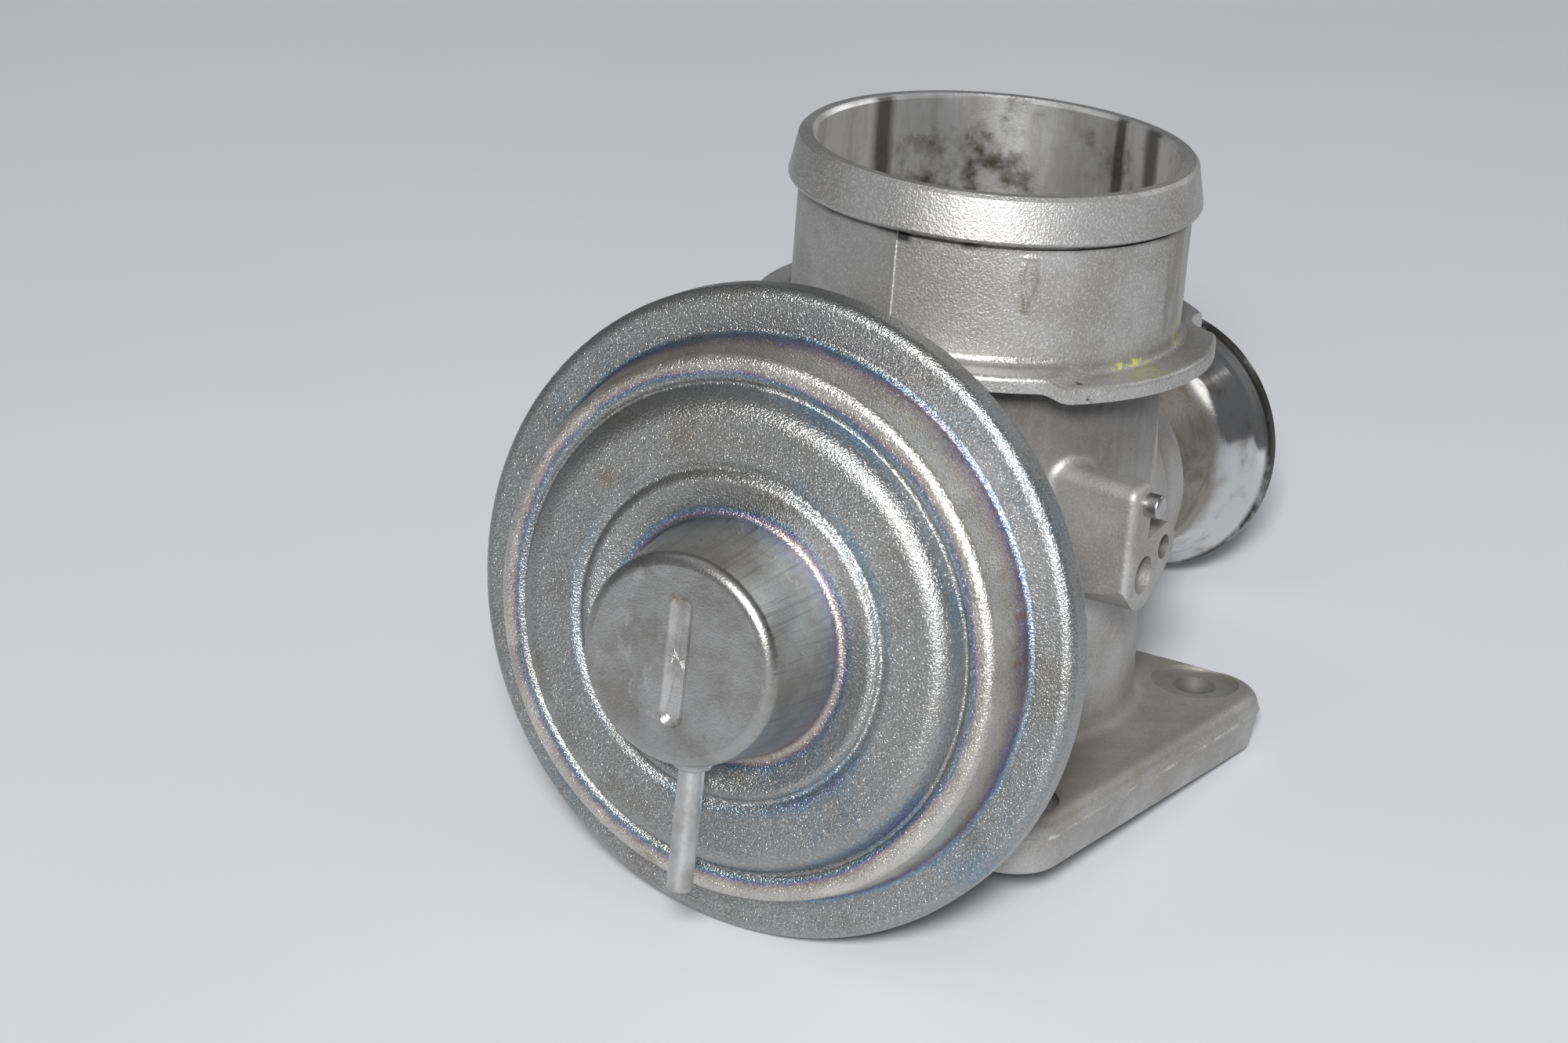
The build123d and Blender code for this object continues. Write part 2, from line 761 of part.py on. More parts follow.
# ---------------------------------------------------------------- actuator rear shell
with BuildPart() as rear_cup:
    with BuildSketch(profile_plane):
        with BuildLine():
            bent_sheet(
                (
                    (cup_hole_radius, cup_outer_s),
                    (cup_floor_radius, cup_outer_s),
                    (cup_mouth_radius, cup_rim_s),
                    (rim_radius - sheet - clearance, cup_rim_s),
                ),
                (cup_floor_bend, cup_mouth_bend),
                -sheet,
            )
        make_face()
    revolve(axis=valve_axis)
    with BuildSketch(station(cup_outer_s - 1)):
        with PolarLocations(screw_circle_radius, screw_count, start_angle=90):
            Circle(screw_radius + clearance)
        with PolarLocations(vent_circle_radius, screw_count, start_angle=30):
            Circle(vent_radius)
    extrude(amount=sheet + 2, mode=Mode.SUBTRACT)
write(rear_cup.part, "rear_cup")

# ---------------------------------------------------------------- rolling diaphragm
with BuildPart() as diaphragm:
    with BuildSketch(profile_plane):
        with BuildLine():
            bent_sheet(
                (
                    (stem_end_radius + running_gap, diaphragm_s),
                    (loop_inner_radius, diaphragm_s),
                    (loop_inner_radius, loop_top_s),
                    (loop_outer_radius, loop_top_s),
                    (loop_outer_radius, bead_seat_s),
                    (rim_radius - rim_edge_radius, bead_seat_s),
                ),
                (
                    piston_bend + diaphragm_thickness,
                    loop_radius,
                    loop_radius,
                    diaphragm_thickness + loop_lip_bend,
                ),
                -diaphragm_thickness,
            )
        make_face()
    revolve(axis=valve_axis)
    # Thick rim that the two shells clamp.
    with BuildSketch(station(bead_seat_s)):
        Circle(rim_radius - rim_edge_radius)
        Circle(step_root_radius + bead_gap, mode=Mode.SUBTRACT)
    extrude(amount=rim_face_s - sheet - bead_seat_s)
write(diaphragm.part, "diaphragm")

# ---------------------------------------------------------------- piston, plates and spring
piston_rim_s = plateau_s - sheet - stop_gap - lift
with BuildPart() as piston_cup:
    with BuildSketch(profile_plane):
        with BuildLine():
            bent_sheet(
                (
                    (stem_end_radius + running_gap, piston_s),
                    (piston_radius, piston_s),
                    (piston_radius, piston_rim_s),
                ),
                (piston_bend,),
                -plate_thickness,
            )
        make_face()
    revolve(axis=valve_axis)
write(piston_cup.part, "piston_cup")

with BuildPart() as rear_plate:
    with BuildSketch(station(rear_plate_s)):
        Circle(rear_plate_radius)
        Circle(stem_end_radius + running_gap, mode=Mode.SUBTRACT)
    extrude(amount=plate_thickness)
    fillet(edges().group_by(SortBy.LENGTH)[-1], plate_edge_radius)
write(rear_plate.part, "rear_plate")

with BuildPart() as spring_seat:
    with BuildSketch(profile_plane):
        with BuildLine():
            Polyline(
                (stem_end_radius + running_gap, spring_seat_s),
                (spring_mean_radius + spring_wire_radius + spring_seat_margin, spring_seat_s),
                (spring_mean_radius + spring_wire_radius + spring_seat_margin, stem_nut_s),
                (spring_hub_radius, stem_nut_s),
                (spring_hub_radius - spring_hub_lean, stem_nut_s + spring_hub_height),
                (spring_hub_radius - spring_hub_width, stem_nut_s + spring_hub_height),
                (spring_hub_radius - spring_hub_width - spring_hub_lean, stem_nut_s),
                (stem_end_radius + running_gap, stem_nut_s),
                close=True,
            )
        make_face()
    revolve(axis=valve_axis)
write(spring_seat.part, "spring_seat")

# The coil stands between the spring seat and the dome's end.
coil_start_s = stem_nut_s + spring_wire_radius + spring_end_gap
coil_end_s = dome_tip_s - sheet - spring_wire_radius - spring_end_gap
coil_height = coil_end_s - coil_start_s
coil_start = station(coil_start_s)
with BuildPart() as return_spring:
    with BuildLine():
        coil = Helix(
            pitch=coil_height / spring_turns,
            height=coil_height,
            radius=spring_mean_radius,
            center=coil_start.origin,
            direction=coil_start.z_dir,
        )
    with BuildSketch(Plane(origin=coil @ 0, z_dir=coil % 0)):
        RegularPolygon(spring_wire_radius, 8)
    sweep(path=coil, is_frenet=True)
write(return_spring.part, "return_spring")

# ---------------------------------------------------------------- stem and its nuts
with BuildPart() as valve_stem:
    with BuildSketch(profile_plane):
        with BuildLine():
            Polyline(
                (0, stem_top_s),
                (stem_end_radius - stem_end_chamfer, stem_top_s),
                (stem_end_radius, stem_top_s - stem_end_chamfer),
                (stem_end_radius, rear_plate_s),
                (stem_collar_radius, rear_plate_s),
                (stem_collar_radius, rear_plate_s - stem_collar_length),
                (stem_radius, rear_plate_s - stem_collar_length),
                (stem_radius, poppet_front_s),
                (stem_end_radius, poppet_front_s),
                (stem_end_radius, stem_bottom_s + stem_end_chamfer),
                (stem_end_radius - stem_end_chamfer, stem_bottom_s),
                (0, stem_bottom_s),
                close=True,
            )
        make_face()
    revolve(axis=valve_axis)
write(valve_stem.part, "valve_stem")

for nut_name, nut_s in (("stem_nut", stem_nut_s), ("poppet_nut", poppet_back_s - nut_height)):
    with BuildPart() as nut:
        with BuildSketch(station(nut_s)):
            RegularPolygon(nut_across_flats / 2, 6, major_radius=False)
            Circle(stem_end_radius + press_gap, mode=Mode.SUBTRACT)
        extrude(amount=nut_height)
    write(nut.part, nut_name)

# ---------------------------------------------------------------- poppet and seat
bevel_offset = running_gap * sqrt(2)
poppet_rim_s = seat_face_s - seat_bevel + poppet_radius - seat_bore_radius + bevel_offset
with BuildPart() as valve_poppet:
    with BuildSketch(profile_plane):
        with BuildLine():
            Polyline(
                (stem_end_radius + press_gap, poppet_back_s),
                (poppet_radius - (poppet_rim_s - poppet_back_s), poppet_back_s),
                (poppet_radius, poppet_rim_s),
                (poppet_radius, poppet_rim_s + poppet_rim_height),
                (poppet_hub_radius, poppet_front_s - poppet_hub_chamfer),
                (poppet_hub_radius - poppet_hub_chamfer, poppet_front_s),
                (stem_end_radius + press_gap, poppet_front_s),
                close=True,
            )
        make_face()
    revolve(axis=valve_axis)
write(valve_poppet.part, "valve_poppet")

with BuildPart() as seat_ring:
    with BuildSketch(profile_plane):
        with BuildLine():
            Polyline(
                (seat_bore_radius, seat_back_s),
                (seat_outer_radius, seat_back_s),
                (seat_outer_radius, seat_face_s),
                (seat_bore_radius + seat_bevel, seat_face_s),
                (seat_bore_radius, seat_face_s - seat_bevel),
                close=True,
            )
        make_face()
    revolve(axis=valve_axis)
write(seat_ring.part, "seat_ring")

# ---------------------------------------------------------------- rings on the axis
# Each ring is its name, start and end along the axis, and its outer and inner radius.
rings = (
    ("guide_bush", guide_start_s, guide_end_s, guide_radius, stem_radius + running_gap),
    ("stem_seal", mount_face_s, guide_start_s, seal_radius, stem_radius + running_gap),
    ("scraper_ring", guide_end_s, scraper_end_s, guide_radius, stem_radius + 2 * running_gap),
    ("pipe_seal", seat_back_s, pipe_end_s, seat_outer_radius, pipe_radius - pipe_wall + pipe_seal_setback),
)
for ring_name, start_s, end_s, outer_radius, inner_radius in rings:
    with BuildPart() as ring:
        with BuildSketch(station(start_s)):
            Circle(outer_radius)
            Circle(inner_radius, mode=Mode.SUBTRACT)
        extrude(amount=end_s - start_s)
    write(ring.part, ring_name)

with BuildPart() as heat_gasket:
    with BuildSketch(station(mount_face_s)):
        Circle(mount_flange_radius - gasket_edge)
        Circle(cup_hole_radius, mode=Mode.SUBTRACT)
        with PolarLocations(screw_circle_radius, screw_count, start_angle=90):
            Circle(screw_radius + clearance, mode=Mode.SUBTRACT)
    extrude(amount=gasket_thickness)
write(heat_gasket.part, "heat_gasket")

with BuildPart() as mounting_screws:
    with BuildSketch(station(cup_inner_s)):
        with PolarLocations(screw_circle_radius, screw_count, start_angle=90):
            Circle(screw_head_radius)
    extrude(amount=screw_head_height)
    fillet(faces().sort_by(valve_axis)[-1].edges(), screw_edge_radius)
    with BuildSketch(station(cup_inner_s)):
        with PolarLocations(screw_circle_radius, screw_count, start_angle=90):
            Circle(screw_radius - press_gap)
    extrude(amount=mount_face_s - screw_length + screw_end_gap - cup_inner_s)
    with BuildSketch(station(screw_head_s)):
        with PolarLocations(screw_circle_radius, screw_count, start_angle=90):
            RegularPolygon(screw_radius * screw_socket_part, 6)
    extrude(amount=-screw_head_height * screw_socket_part, mode=Mode.SUBTRACT)
write(mounting_screws.part, "mounting_screws")

# ---------------------------------------------------------------- exhaust inlet pipe
with BuildPart() as inlet_pipe:
    with BuildSketch(profile_plane):
        with BuildLine():
            bent_sheet(
                (
                    (pipe_radius, pipe_end_s),
                    (pipe_radius, flare_start_s),
                    (flare_radius - flare_bend_run, flare_end_s + flare_lip + flare_bend_rise),
                    (flare_radius, flare_end_s + flare_lip),
                    (flare_radius, flare_end_s),
                ),
                flare_bends,
                pipe_wall,
            )
        make_face()
    revolve(axis=valve_axis)
write(inlet_pipe.part, "inlet_pipe")

# ---------------------------------------------------------------- base seal and pad pin
with BuildPart() as base_o_ring:
    with BuildSketch(Plane.XZ):
        with Locations((ring_groove_radius, ring_cord / 2 - ring_stand_proud - press_gap)):
            Circle(ring_cord / 2)
    revolve(axis=Axis.Z)
write(base_o_ring.part, "base_o_ring")

with BuildPart() as pad_pin:
    with BuildSketch(Plane.YZ.offset(pad_end_x - pad_pin_depth)):
        with Locations((pad_pin_y, pad_pin_z)):
            Circle(pad_pin_radius)
    extrude(amount=pad_pin_depth + pad_pin_reach)
    fillet(faces().sort_by(Axis.X)[-1].edges(), pad_pin_edge_radius)
write(pad_pin.part, "pad_pin")
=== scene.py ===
# %% [markdown]
# A vacuum-operated exhaust gas recirculation valve, finished around its CAD frame.
# The CAD model already has every sheet, bend and bore of the real valve, so its nodes stay as they are,
# apart from the two that change shape when the valve opens. What this file adds is what metal looks like
# after years on an engine: cast grain, drawn sheet with its passivation tints, soot, stains and scuffs, and
# the small uneven things that no drawing shows.

import math
from types import SimpleNamespace

import bmesh
import bpy
import numpy as np
from mathutils import Matrix, Vector


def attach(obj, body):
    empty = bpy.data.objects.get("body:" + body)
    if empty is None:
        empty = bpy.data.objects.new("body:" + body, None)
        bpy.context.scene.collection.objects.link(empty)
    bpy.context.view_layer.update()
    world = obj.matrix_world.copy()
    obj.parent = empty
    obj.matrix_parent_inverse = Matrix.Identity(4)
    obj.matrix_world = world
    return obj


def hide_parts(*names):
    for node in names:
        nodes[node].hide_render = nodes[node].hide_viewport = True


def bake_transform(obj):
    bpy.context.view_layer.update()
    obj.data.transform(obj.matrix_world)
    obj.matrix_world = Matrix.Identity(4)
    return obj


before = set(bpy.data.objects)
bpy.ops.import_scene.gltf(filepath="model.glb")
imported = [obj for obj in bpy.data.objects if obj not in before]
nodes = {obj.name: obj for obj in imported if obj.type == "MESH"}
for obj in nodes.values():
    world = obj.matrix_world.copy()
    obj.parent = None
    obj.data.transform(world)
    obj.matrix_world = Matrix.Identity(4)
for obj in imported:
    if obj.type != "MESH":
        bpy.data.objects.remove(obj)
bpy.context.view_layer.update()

# %% [markdown]
# The valve's working parts share one axis: dome, diaphragm, stem, poppet and exhaust pipe. It leans a few
# degrees, so patterns on the turned pieces need coordinates of their own. They are given by a point on that
# axis, the direction out along it, which the sliding joint shares, and the direction up across it.

# %% The common axis
LEAN = math.radians(3.656)
AXIS_POINT = Vector((0, -0.062545, 0.039355))
AXIS_OUT = Vector((0, -math.cos(LEAN), math.sin(LEAN)))
AXIS_UP = Vector((0, math.sin(LEAN), math.cos(LEAN)))

# %% [markdown]
# A long lens from a little above and to the right shows the dome, the spigot and the exhaust flare at once.
# The camera's place and turn are written as one matrix: its columns are the camera's right, up and backward
# directions in the object's frame.

# %% Camera
IMAGE_WIDTH = 2000
FOCAL_PIXELS = 5366.92
CAMERA_RIGHT = (0.872573, 0.482776, 0.074455)
CAMERA_DOWN = (0.229536, -0.270681, -0.934904)
CAMERA_FORWARD = (-0.431196, 0.832862, -0.347004)
CAMERA_OFFSET = (0.0266397, 0.0335326, 0.6995693)

turn = np.array([CAMERA_RIGHT, CAMERA_DOWN, CAMERA_FORWARD])
eye = -turn.T @ np.array(CAMERA_OFFSET)
lens = bpy.data.cameras.new("view_camera")
lens.sensor_fit = "HORIZONTAL"
lens.sensor_width = 36.0
lens.lens = FOCAL_PIXELS * lens.sensor_width / IMAGE_WIDTH
lens.clip_start = 0.02
lens.clip_end = 20.0
camera = bpy.data.objects.new("view_camera", lens)
bpy.context.scene.collection.objects.link(camera)
camera_matrix = np.eye(4)
camera_matrix[:3, :3] = np.column_stack([turn[0], -turn[1], -turn[2]])
camera_matrix[:3, 3] = eye
camera.matrix_world = Matrix(camera_matrix.tolist())
bpy.context.scene.camera = camera
print("camera at", np.round(eye, 4).tolist(), "lens", round(lens.lens, 2), "mm")

# %% [markdown]
# Every new surface here is a grid: two parameters, one array of points, and quads between neighbours.
# This helper turns such an array into a mesh, closing it round where a ring's last column meets its first.

# %% Grid meshes
def grid_object(name, points, ring=False, loop=False, smooth=True):
    """Makes an object from points[row, column, xyz], with a quad between each four neighbours.

    With ring, the last column also joins the first, and with loop the last row does.
    """
    rows, columns = points.shape[:2]
    index = np.arange(rows * columns).reshape(rows, columns)
    if loop:
        index = np.concatenate([index, index[:1]])
    if ring:
        index = np.concatenate([index, index[:, :1]], axis=1)
    quads = np.stack([index[:-1, :-1], index[:-1, 1:], index[1:, 1:], index[1:, :-1]], axis=-1).reshape(-1, 4)
    mesh = bpy.data.meshes.new(name)
    mesh.from_pydata(points.reshape(-1, 3).tolist(), [], quads.tolist())
    mesh.polygons.foreach_set("use_smooth", np.full(len(mesh.polygons), smooth))
    mesh.update()
    piece = bpy.data.objects.new(name, mesh)
    bpy.context.scene.collection.objects.link(piece)
    print(name, "points", rows * columns, "faces", len(mesh.polygons))
    return piece


# %% [markdown]
# The valve lies as it would on a bench: it tips forward until the big disc's rim and the flange's back edge
# touch the surface. The floor is that plane, wide enough to fill the view.

# %% Floor
FLOOR_TILT = math.radians(6.37)
FLOOR_TOUCH_Y = 0.0318
FLOOR_DROP = 0.0003
FLOOR_HALF = 3.0
FLOOR_COUNT = 9


def floor_points(half, count):
    """A square of points on the plane that rises with the tilt towards +Y through the flange's back edge."""
    across, along = np.meshgrid(np.linspace(-half, half, count), np.linspace(-half, half, count))
    y = FLOOR_TOUCH_Y + along * math.cos(FLOOR_TILT)
    z = along * math.sin(FLOOR_TILT) - FLOOR_DROP
    return np.stack([across, y, z], axis=-1)


floor = grid_object("bench_floor", floor_points(FLOOR_HALF, FLOOR_COUNT), smooth=False)

# %% [markdown]
# Metal shows its surroundings more than itself. A fairly small soft lamp, well off and close to the camera's
# direction, draws the bright lines along the bends and makes the grain sparkle; a wide one overhead and a dim
# one behind fill the rest. Each lamp's spread is narrowed, so that its light stays on the bench. The world is
# a plain pale grey that lights the metal softly, and the camera alone sees it brighter, as a pale backdrop.

# %% Lamps and world
LAMPS = {
    "key_lamp": {"azimuth": 23, "elevation": 29, "distance": 2.1, "size": 0.38, "power": 21.5},
    "top_lamp": {"azimuth": -50, "elevation": 66, "distance": 2.0, "size": 1.45, "power": 0.9},
    "back_lamp": {"azimuth": 150, "elevation": 32, "distance": 2.2, "size": 1.1, "power": 2.1},
}
LAMP_SPREAD = math.radians(110)
LAMP_TARGET = Vector((0, -0.01, 0.045))
WORLD_GREY = (0.60, 0.61, 0.63, 1)
WORLD_STRENGTH = 0.21
BACKDROP_STRENGTH = 0.9


def add_lamp(name, azimuth, elevation, distance, size, power):
    """A square soft lamp aimed at the valve, from an azimuth (0 is -Y, 90 is +X) and elevation in degrees."""
    azimuth, elevation = math.radians(azimuth), math.radians(elevation)
    level = math.cos(elevation)
    away = Vector((math.sin(azimuth) * level, -math.cos(azimuth) * level, math.sin(elevation)))
    data = bpy.data.lights.new(name, "AREA")
    data.size = size
    data.energy = power
    data.spread = LAMP_SPREAD
    lamp = bpy.data.objects.new(name, data)
    bpy.context.scene.collection.objects.link(lamp)
    aim = away.to_track_quat("Z", "Y").to_matrix().to_4x4()
    lamp.matrix_world = Matrix.Translation(LAMP_TARGET + away * distance) @ aim
    print(name, "at", [round(v, 3) for v in lamp.matrix_world.translation])


for lamp_name, lamp_facts in LAMPS.items():
    add_lamp(lamp_name, **lamp_facts)

world = bpy.data.worlds.new("studio")
world.use_nodes = True
sky = world.node_tree
background = sky.nodes["Background"]
background.inputs["Color"].default_value = WORLD_GREY
glow = sky.nodes.new("ShaderNodeMath")
glow.operation = "MULTIPLY_ADD"
glow.inputs[1].default_value = BACKDROP_STRENGTH - WORLD_STRENGTH
glow.inputs[2].default_value = WORLD_STRENGTH
seen = sky.nodes.new("ShaderNodeLightPath")
sky.links.new(seen.outputs["Is Camera Ray"], glow.inputs[0])
sky.links.new(glow.outputs[0], background.inputs["Strength"])
bpy.context.scene.world = world
bpy.context.scene.view_settings.view_transform = "Standard"
print("world strength", WORLD_STRENGTH, "and to the camera", BACKDROP_STRENGTH)

# %% [markdown]
# Each finish is a node tree on object coordinates, which are metres here, so a noise scale of 2000 means
# grains of half a millimetre. The class below only keeps the wiring short: every method adds a node, or a
# few, and returns the output.

# %% Finish helper
class Finish:
    """A material being built, with one short method for each kind of node that the finishes use."""

    def __init__(self, name, **sockets):
        self.material = bpy.data.materials.new(name)
        self.material.use_nodes = True
        self.tree = self.material.node_tree
        self.shader = self.tree.nodes["Principled BSDF"]
        self.place = self.add("ShaderNodeTexCoord").outputs["Object"]
        for socket, value in sockets.items():
            self.feed(self.shader.inputs[socket.replace("_", " ")], value)

    def feed(self, socket, value):
        """Links value to the socket if it is an output, and otherwise sets it there."""
        if isinstance(value, bpy.types.NodeSocket):
            self.tree.links.new(value, socket)
        else:
            socket.default_value = value

    def add(self, kind, inputs=None, **settings):
        node = self.tree.nodes.new(kind)
        for key, value in settings.items():
            setattr(node, key, value)
        for key, value in (inputs or {}).items():
            self.feed(node.inputs[key], value)
        return node

    def noise(self, scale, detail=2.0, roughness=0.5, distortion=0.0, at=None):
        """Soft noise from 0 to 1, with grains of about one over scale metres."""
        facts = {"Vector": at or self.place, "Scale": scale, "Detail": detail}
        facts.update({"Roughness": roughness, "Distortion": distortion})
        return self.add("ShaderNodeTexNoise", facts).outputs["Fac"]

    def moved(self, place, **facts):
        """Coordinates after a Mapping node with those settings, such as Scale=(1, 1, 0.2)."""
        return self.add("ShaderNodeMapping", {"Vector": place, **facts}).outputs["Vector"]

    def vector(self, operation, first, second, output="Vector"):
        node = self.add("ShaderNodeVectorMath", {0: first, 1: second}, operation=operation)
        return node.outputs[output]

    def math(self, operation, *values):
        node = self.add("ShaderNodeMath", operation=operation)
        for socket, value in zip(node.inputs, values):
            self.feed(socket, value)
        return node.outputs[0]

    def product(self, first, *others):
        """All the values multiplied."""
        for other in others:
            first = self.math("MULTIPLY", first, other)
        return first

    def most(self, first, *others):
        """The largest of the values."""
        for other in others:
            first = self.math("MAXIMUM", first, other)
        return first

    def without(self, value):
        """One less the value."""
        return self.math("SUBTRACT", 1.0, value)

    def off(self, value, centre):
        """How far the value is from the centre, on either side."""
        return self.math("ABSOLUTE", self.math("SUBTRACT", value, centre))

    def fade(self, value, start, end, low=0.0, high=1.0):
        """Goes smoothly from low to high while value goes from start to end."""
        facts = {"Value": value, "From Min": start, "From Max": end, "To Min": low, "To Max": high}
        return self.add("ShaderNodeMapRange", facts, interpolation_type="SMOOTHSTEP").outputs["Result"]

    def band(self, value, foot, full, full_end, foot_end):
        """Rises from 0 at foot to 1 at full, stays there to full_end, and is 0 again at foot_end."""
        return self.product(self.fade(value, foot, full), self.fade(value, foot_end, full_end))

    def mix(self, factor, first, second):
        """Colour between first, at 0, and second, at 1."""
        node = self.add("ShaderNodeMix", data_type="RGBA")
        self.feed(node.inputs[0], factor)
        self.feed(node.inputs[6], first)
        self.feed(node.inputs[7], second)
        return node.outputs[2]

    def ramp(self, value, stops):
        """Colours between stops, each (position, colour)."""
        node = self.add("ShaderNodeValToRGB", {"Fac": value})
        elements = node.color_ramp.elements
        while len(elements) < len(stops):
            elements.new(0.5)
        for element, (position, colour) in zip(elements, stops):
            element.position = position
            element.color = colour
        return node.outputs["Color"]

    def shade_and_grime(self, reach):
        """0 in the open and 1 deep in a corner, judged within reach metres on the piece itself; the finishes
        paint shade and grime by it.
        """
        node = self.add("ShaderNodeAmbientOcclusion", {"Distance": reach}, samples=4, only_local=True)
        return self.without(node.outputs["AO"])

    def bump(self, height, distance, strength=1.0, under=None):
        """A normal for relief of that distance in metres, laid over another bump if one is given."""
        node = self.add("ShaderNodeBump", {"Height": height, "Distance": distance, "Strength": strength})
        if under is not None:
            self.feed(node.inputs["Normal"], under)
        return node.outputs["Normal"]

    def part_of(self, output, name):
        """One of X, Y and Z of a vector."""
        return self.add("ShaderNodeSeparateXYZ", {"Vector": output}).outputs[name]

    def finish(self, colour, roughness, normal):
        self.feed(self.shader.inputs["Base Color"], colour)
        self.feed(self.shader.inputs["Roughness"], roughness)
        self.feed(self.shader.inputs["Normal"], normal)
        print("finish", self.material.name, "nodes", len(self.tree.nodes))
        return self.material


def grey(value, warmth=0.0):
    """A near-neutral colour, warmer above zero and cooler below."""
    return (value * (1 + warmth), value, value * (1 - warmth), 1)


def on_axis(finish):
    """Coordinates of the turned pieces: X across, Y towards the exhaust and Z up, from the crimped joint."""
    centre = (0, AXIS_POINT.dot(AXIS_OUT), -AXIS_POINT.dot(AXIS_UP))
    return finish.moved(finish.place, Rotation=(LEAN, 0, 0), Location=centre)


def radius_of(finish, place, across):
    """Distance from the axis along which across has a zero, such as (1, 0, 1) for the Y axis."""
    return finish.vector("LENGTH", finish.vector("MULTIPLY", place, across), (0, 0, 0), output="Value")


def angle_of(finish, first, second):
    """Angle in radians whose tangent is first over second."""
    return finish.math("ARCTAN2", first, second)


# %% [markdown]
# The floor is a plain pale sheet. Even so it gets a little tooth and cloudiness, because a perfectly even
# floor makes the shadow look cut out.

# %% Floor finish
def floor_finish():
    f = Finish("pale_floor", Metallic=0.0, Specular_IOR_Level=0.15)
    cloud = f.noise(6.0, detail=3.0)
    tooth = f.noise(700.0, detail=2.0)
    colour = f.mix(cloud, (0.60, 0.61, 0.63, 1), (0.65, 0.66, 0.675, 1))
    return f.finish(colour, f.fade(cloud, 0.3, 0.7, 0.72, 0.82), f.bump(tooth, 0.00003, 0.3))


floor.data.materials.append(floor_finish())

# %% [markdown]
# The housing is die-cast aluminium, blasted after casting. One material does all of it, so its first step is
# to tell its zones apart, by height and by distance from the bore's axis: the bored spigot and the sooty
# throat under it, the machined faces, the rougher skin below the collar, and the outside of the neck. Each
# zone is a mask from 0 to 1.

# %% Zones of the casting
BORE_RADIUS = 0.029
SOOT_TOP = 0.078
NECK_RADIUS = 0.0315
BOLTS = ((0.0342, 0.0235), (-0.0342, 0.0235), (0.0305, -0.0385), (-0.0305, -0.0385))
SPOTFACE_RADIUS = 0.0072
DECK_HEIGHT = 0.0083
COLLAR_FOOT = (0.0690, 0.0660)


def casting_zones(f):
    zone = SimpleNamespace()
    zone.height = f.part_of(f.place, "Z")
    zone.radius = radius_of(f, f.place, (1, 1, 0))
    zone.angle = angle_of(f, f.part_of(f.place, "Y"), f.part_of(f.place, "X"))
    inside = f.fade(zone.radius, BORE_RADIUS + 0.0009, BORE_RADIUS + 0.0002)
    turned = f.fade(zone.height, SOOT_TOP - 0.006, SOOT_TOP + 0.004)
    zone.bored = f.product(inside, turned)
    zone.sooty = f.product(inside, f.without(turned))
    spots = []
    for bolt_x, bolt_y in BOLTS:
        from_bolt = f.vector("SUBTRACT", f.place, (bolt_x, bolt_y, 0))
        spots.append(f.fade(radius_of(f, from_bolt, (1, 1, 0)), SPOTFACE_RADIUS + 0.0003, SPOTFACE_RADIUS))
    zone.spot = f.most(*spots)
    underside = f.fade(zone.height, 0.0004, 0.0001)
    spotface = f.product(zone.spot, f.fade(zone.height, DECK_HEIGHT + 0.0003, DECK_HEIGHT))
    zone.machined = f.most(underside, spotface)
    zone.smooth = f.most(zone.bored, zone.machined)
    zone.lower = f.fade(zone.height, *COLLAR_FOOT)
    zone.outside = f.fade(zone.radius, 0.0300, 0.0305)
    zone.neck = f.product(f.band(zone.height, 0.0745, 0.0765, 0.0920, 0.0930), zone.outside)
    return zone


# %% [markdown]
# The skin itself is dull grey with cloudy patches and brown stains. Bright grains are painted glints on it,
# more of them above the collar than below, and painted shade with patchy grime fills the corners.

# %% Skin of the casting
def casting_noises(f):
    """The patterns that several parts of the casting's finish share."""
    pattern = SimpleNamespace()
    pattern.cloud = f.noise(75.0, detail=6.0, roughness=0.62)
    pattern.patch = f.noise(26.0, detail=4.0, roughness=0.6, distortion=0.8)
    pattern.grain = f.noise(2600.0, detail=2.0, roughness=0.6)
    pattern.tall = f.moved(f.place, Scale=(1, 1, 0.22))
    pattern.streak = f.noise(150.0, detail=4.0, roughness=0.7, at=pattern.tall)
    return pattern


def cast_skin(f, zone, pattern):
    cloud, patch, grain = pattern.cloud, pattern.patch, pattern.grain
    colour = f.mix(f.fade(cloud, 0.36, 0.66), grey(0.46, 0.01), grey(0.34, 0.03))
    colour = f.mix(f.fade(patch, 0.52, 0.74, 0, 0.5), colour, (0.29, 0.265, 0.235, 1))
    colour = f.mix(f.fade(patch, 0.46, 0.30, 0, 0.35), colour, grey(0.56))
    matte = f.mix(f.fade(cloud, 0.34, 0.66), grey(0.42, 0.012), grey(0.31, 0.04))
    colour = f.mix(f.product(zone.lower, 0.75), colour, matte)
    # Bright grains: painted glints, more of them above the collar.
    painted_glint = f.fade(zone.height, *COLLAR_FOOT, 0.5, 0.2)
    colour = f.mix(f.fade(grain, 0.50, 0.72, 0, painted_glint), colour, grey(0.76))
    colour = f.mix(f.fade(grain, 0.50, 0.26, 0, 0.30), colour, grey(0.24, 0.02))
    # Painted shade in the corners, from occlusion, broken into patches of grime by the cloud.
    shade_and_grime = f.fade(f.math("ADD", f.shade_and_grime(0.006), f.product(cloud, 0.25)), 0.42, 0.85)
    return f.mix(f.product(shade_and_grime, 0.85), colour, (0.06, 0.052, 0.045, 1))


# %% [markdown]
# The neck has a history of its own. Its left flank is darker and its right one is streaked, a painted
# highlight follows the die's seam, and brown stain lies round the scar. The groove under the bead is painted
# black, partly as the shadow under its ledge and partly as dirt that is thickest at the seam, and black dirt
# flecks the collar's step.

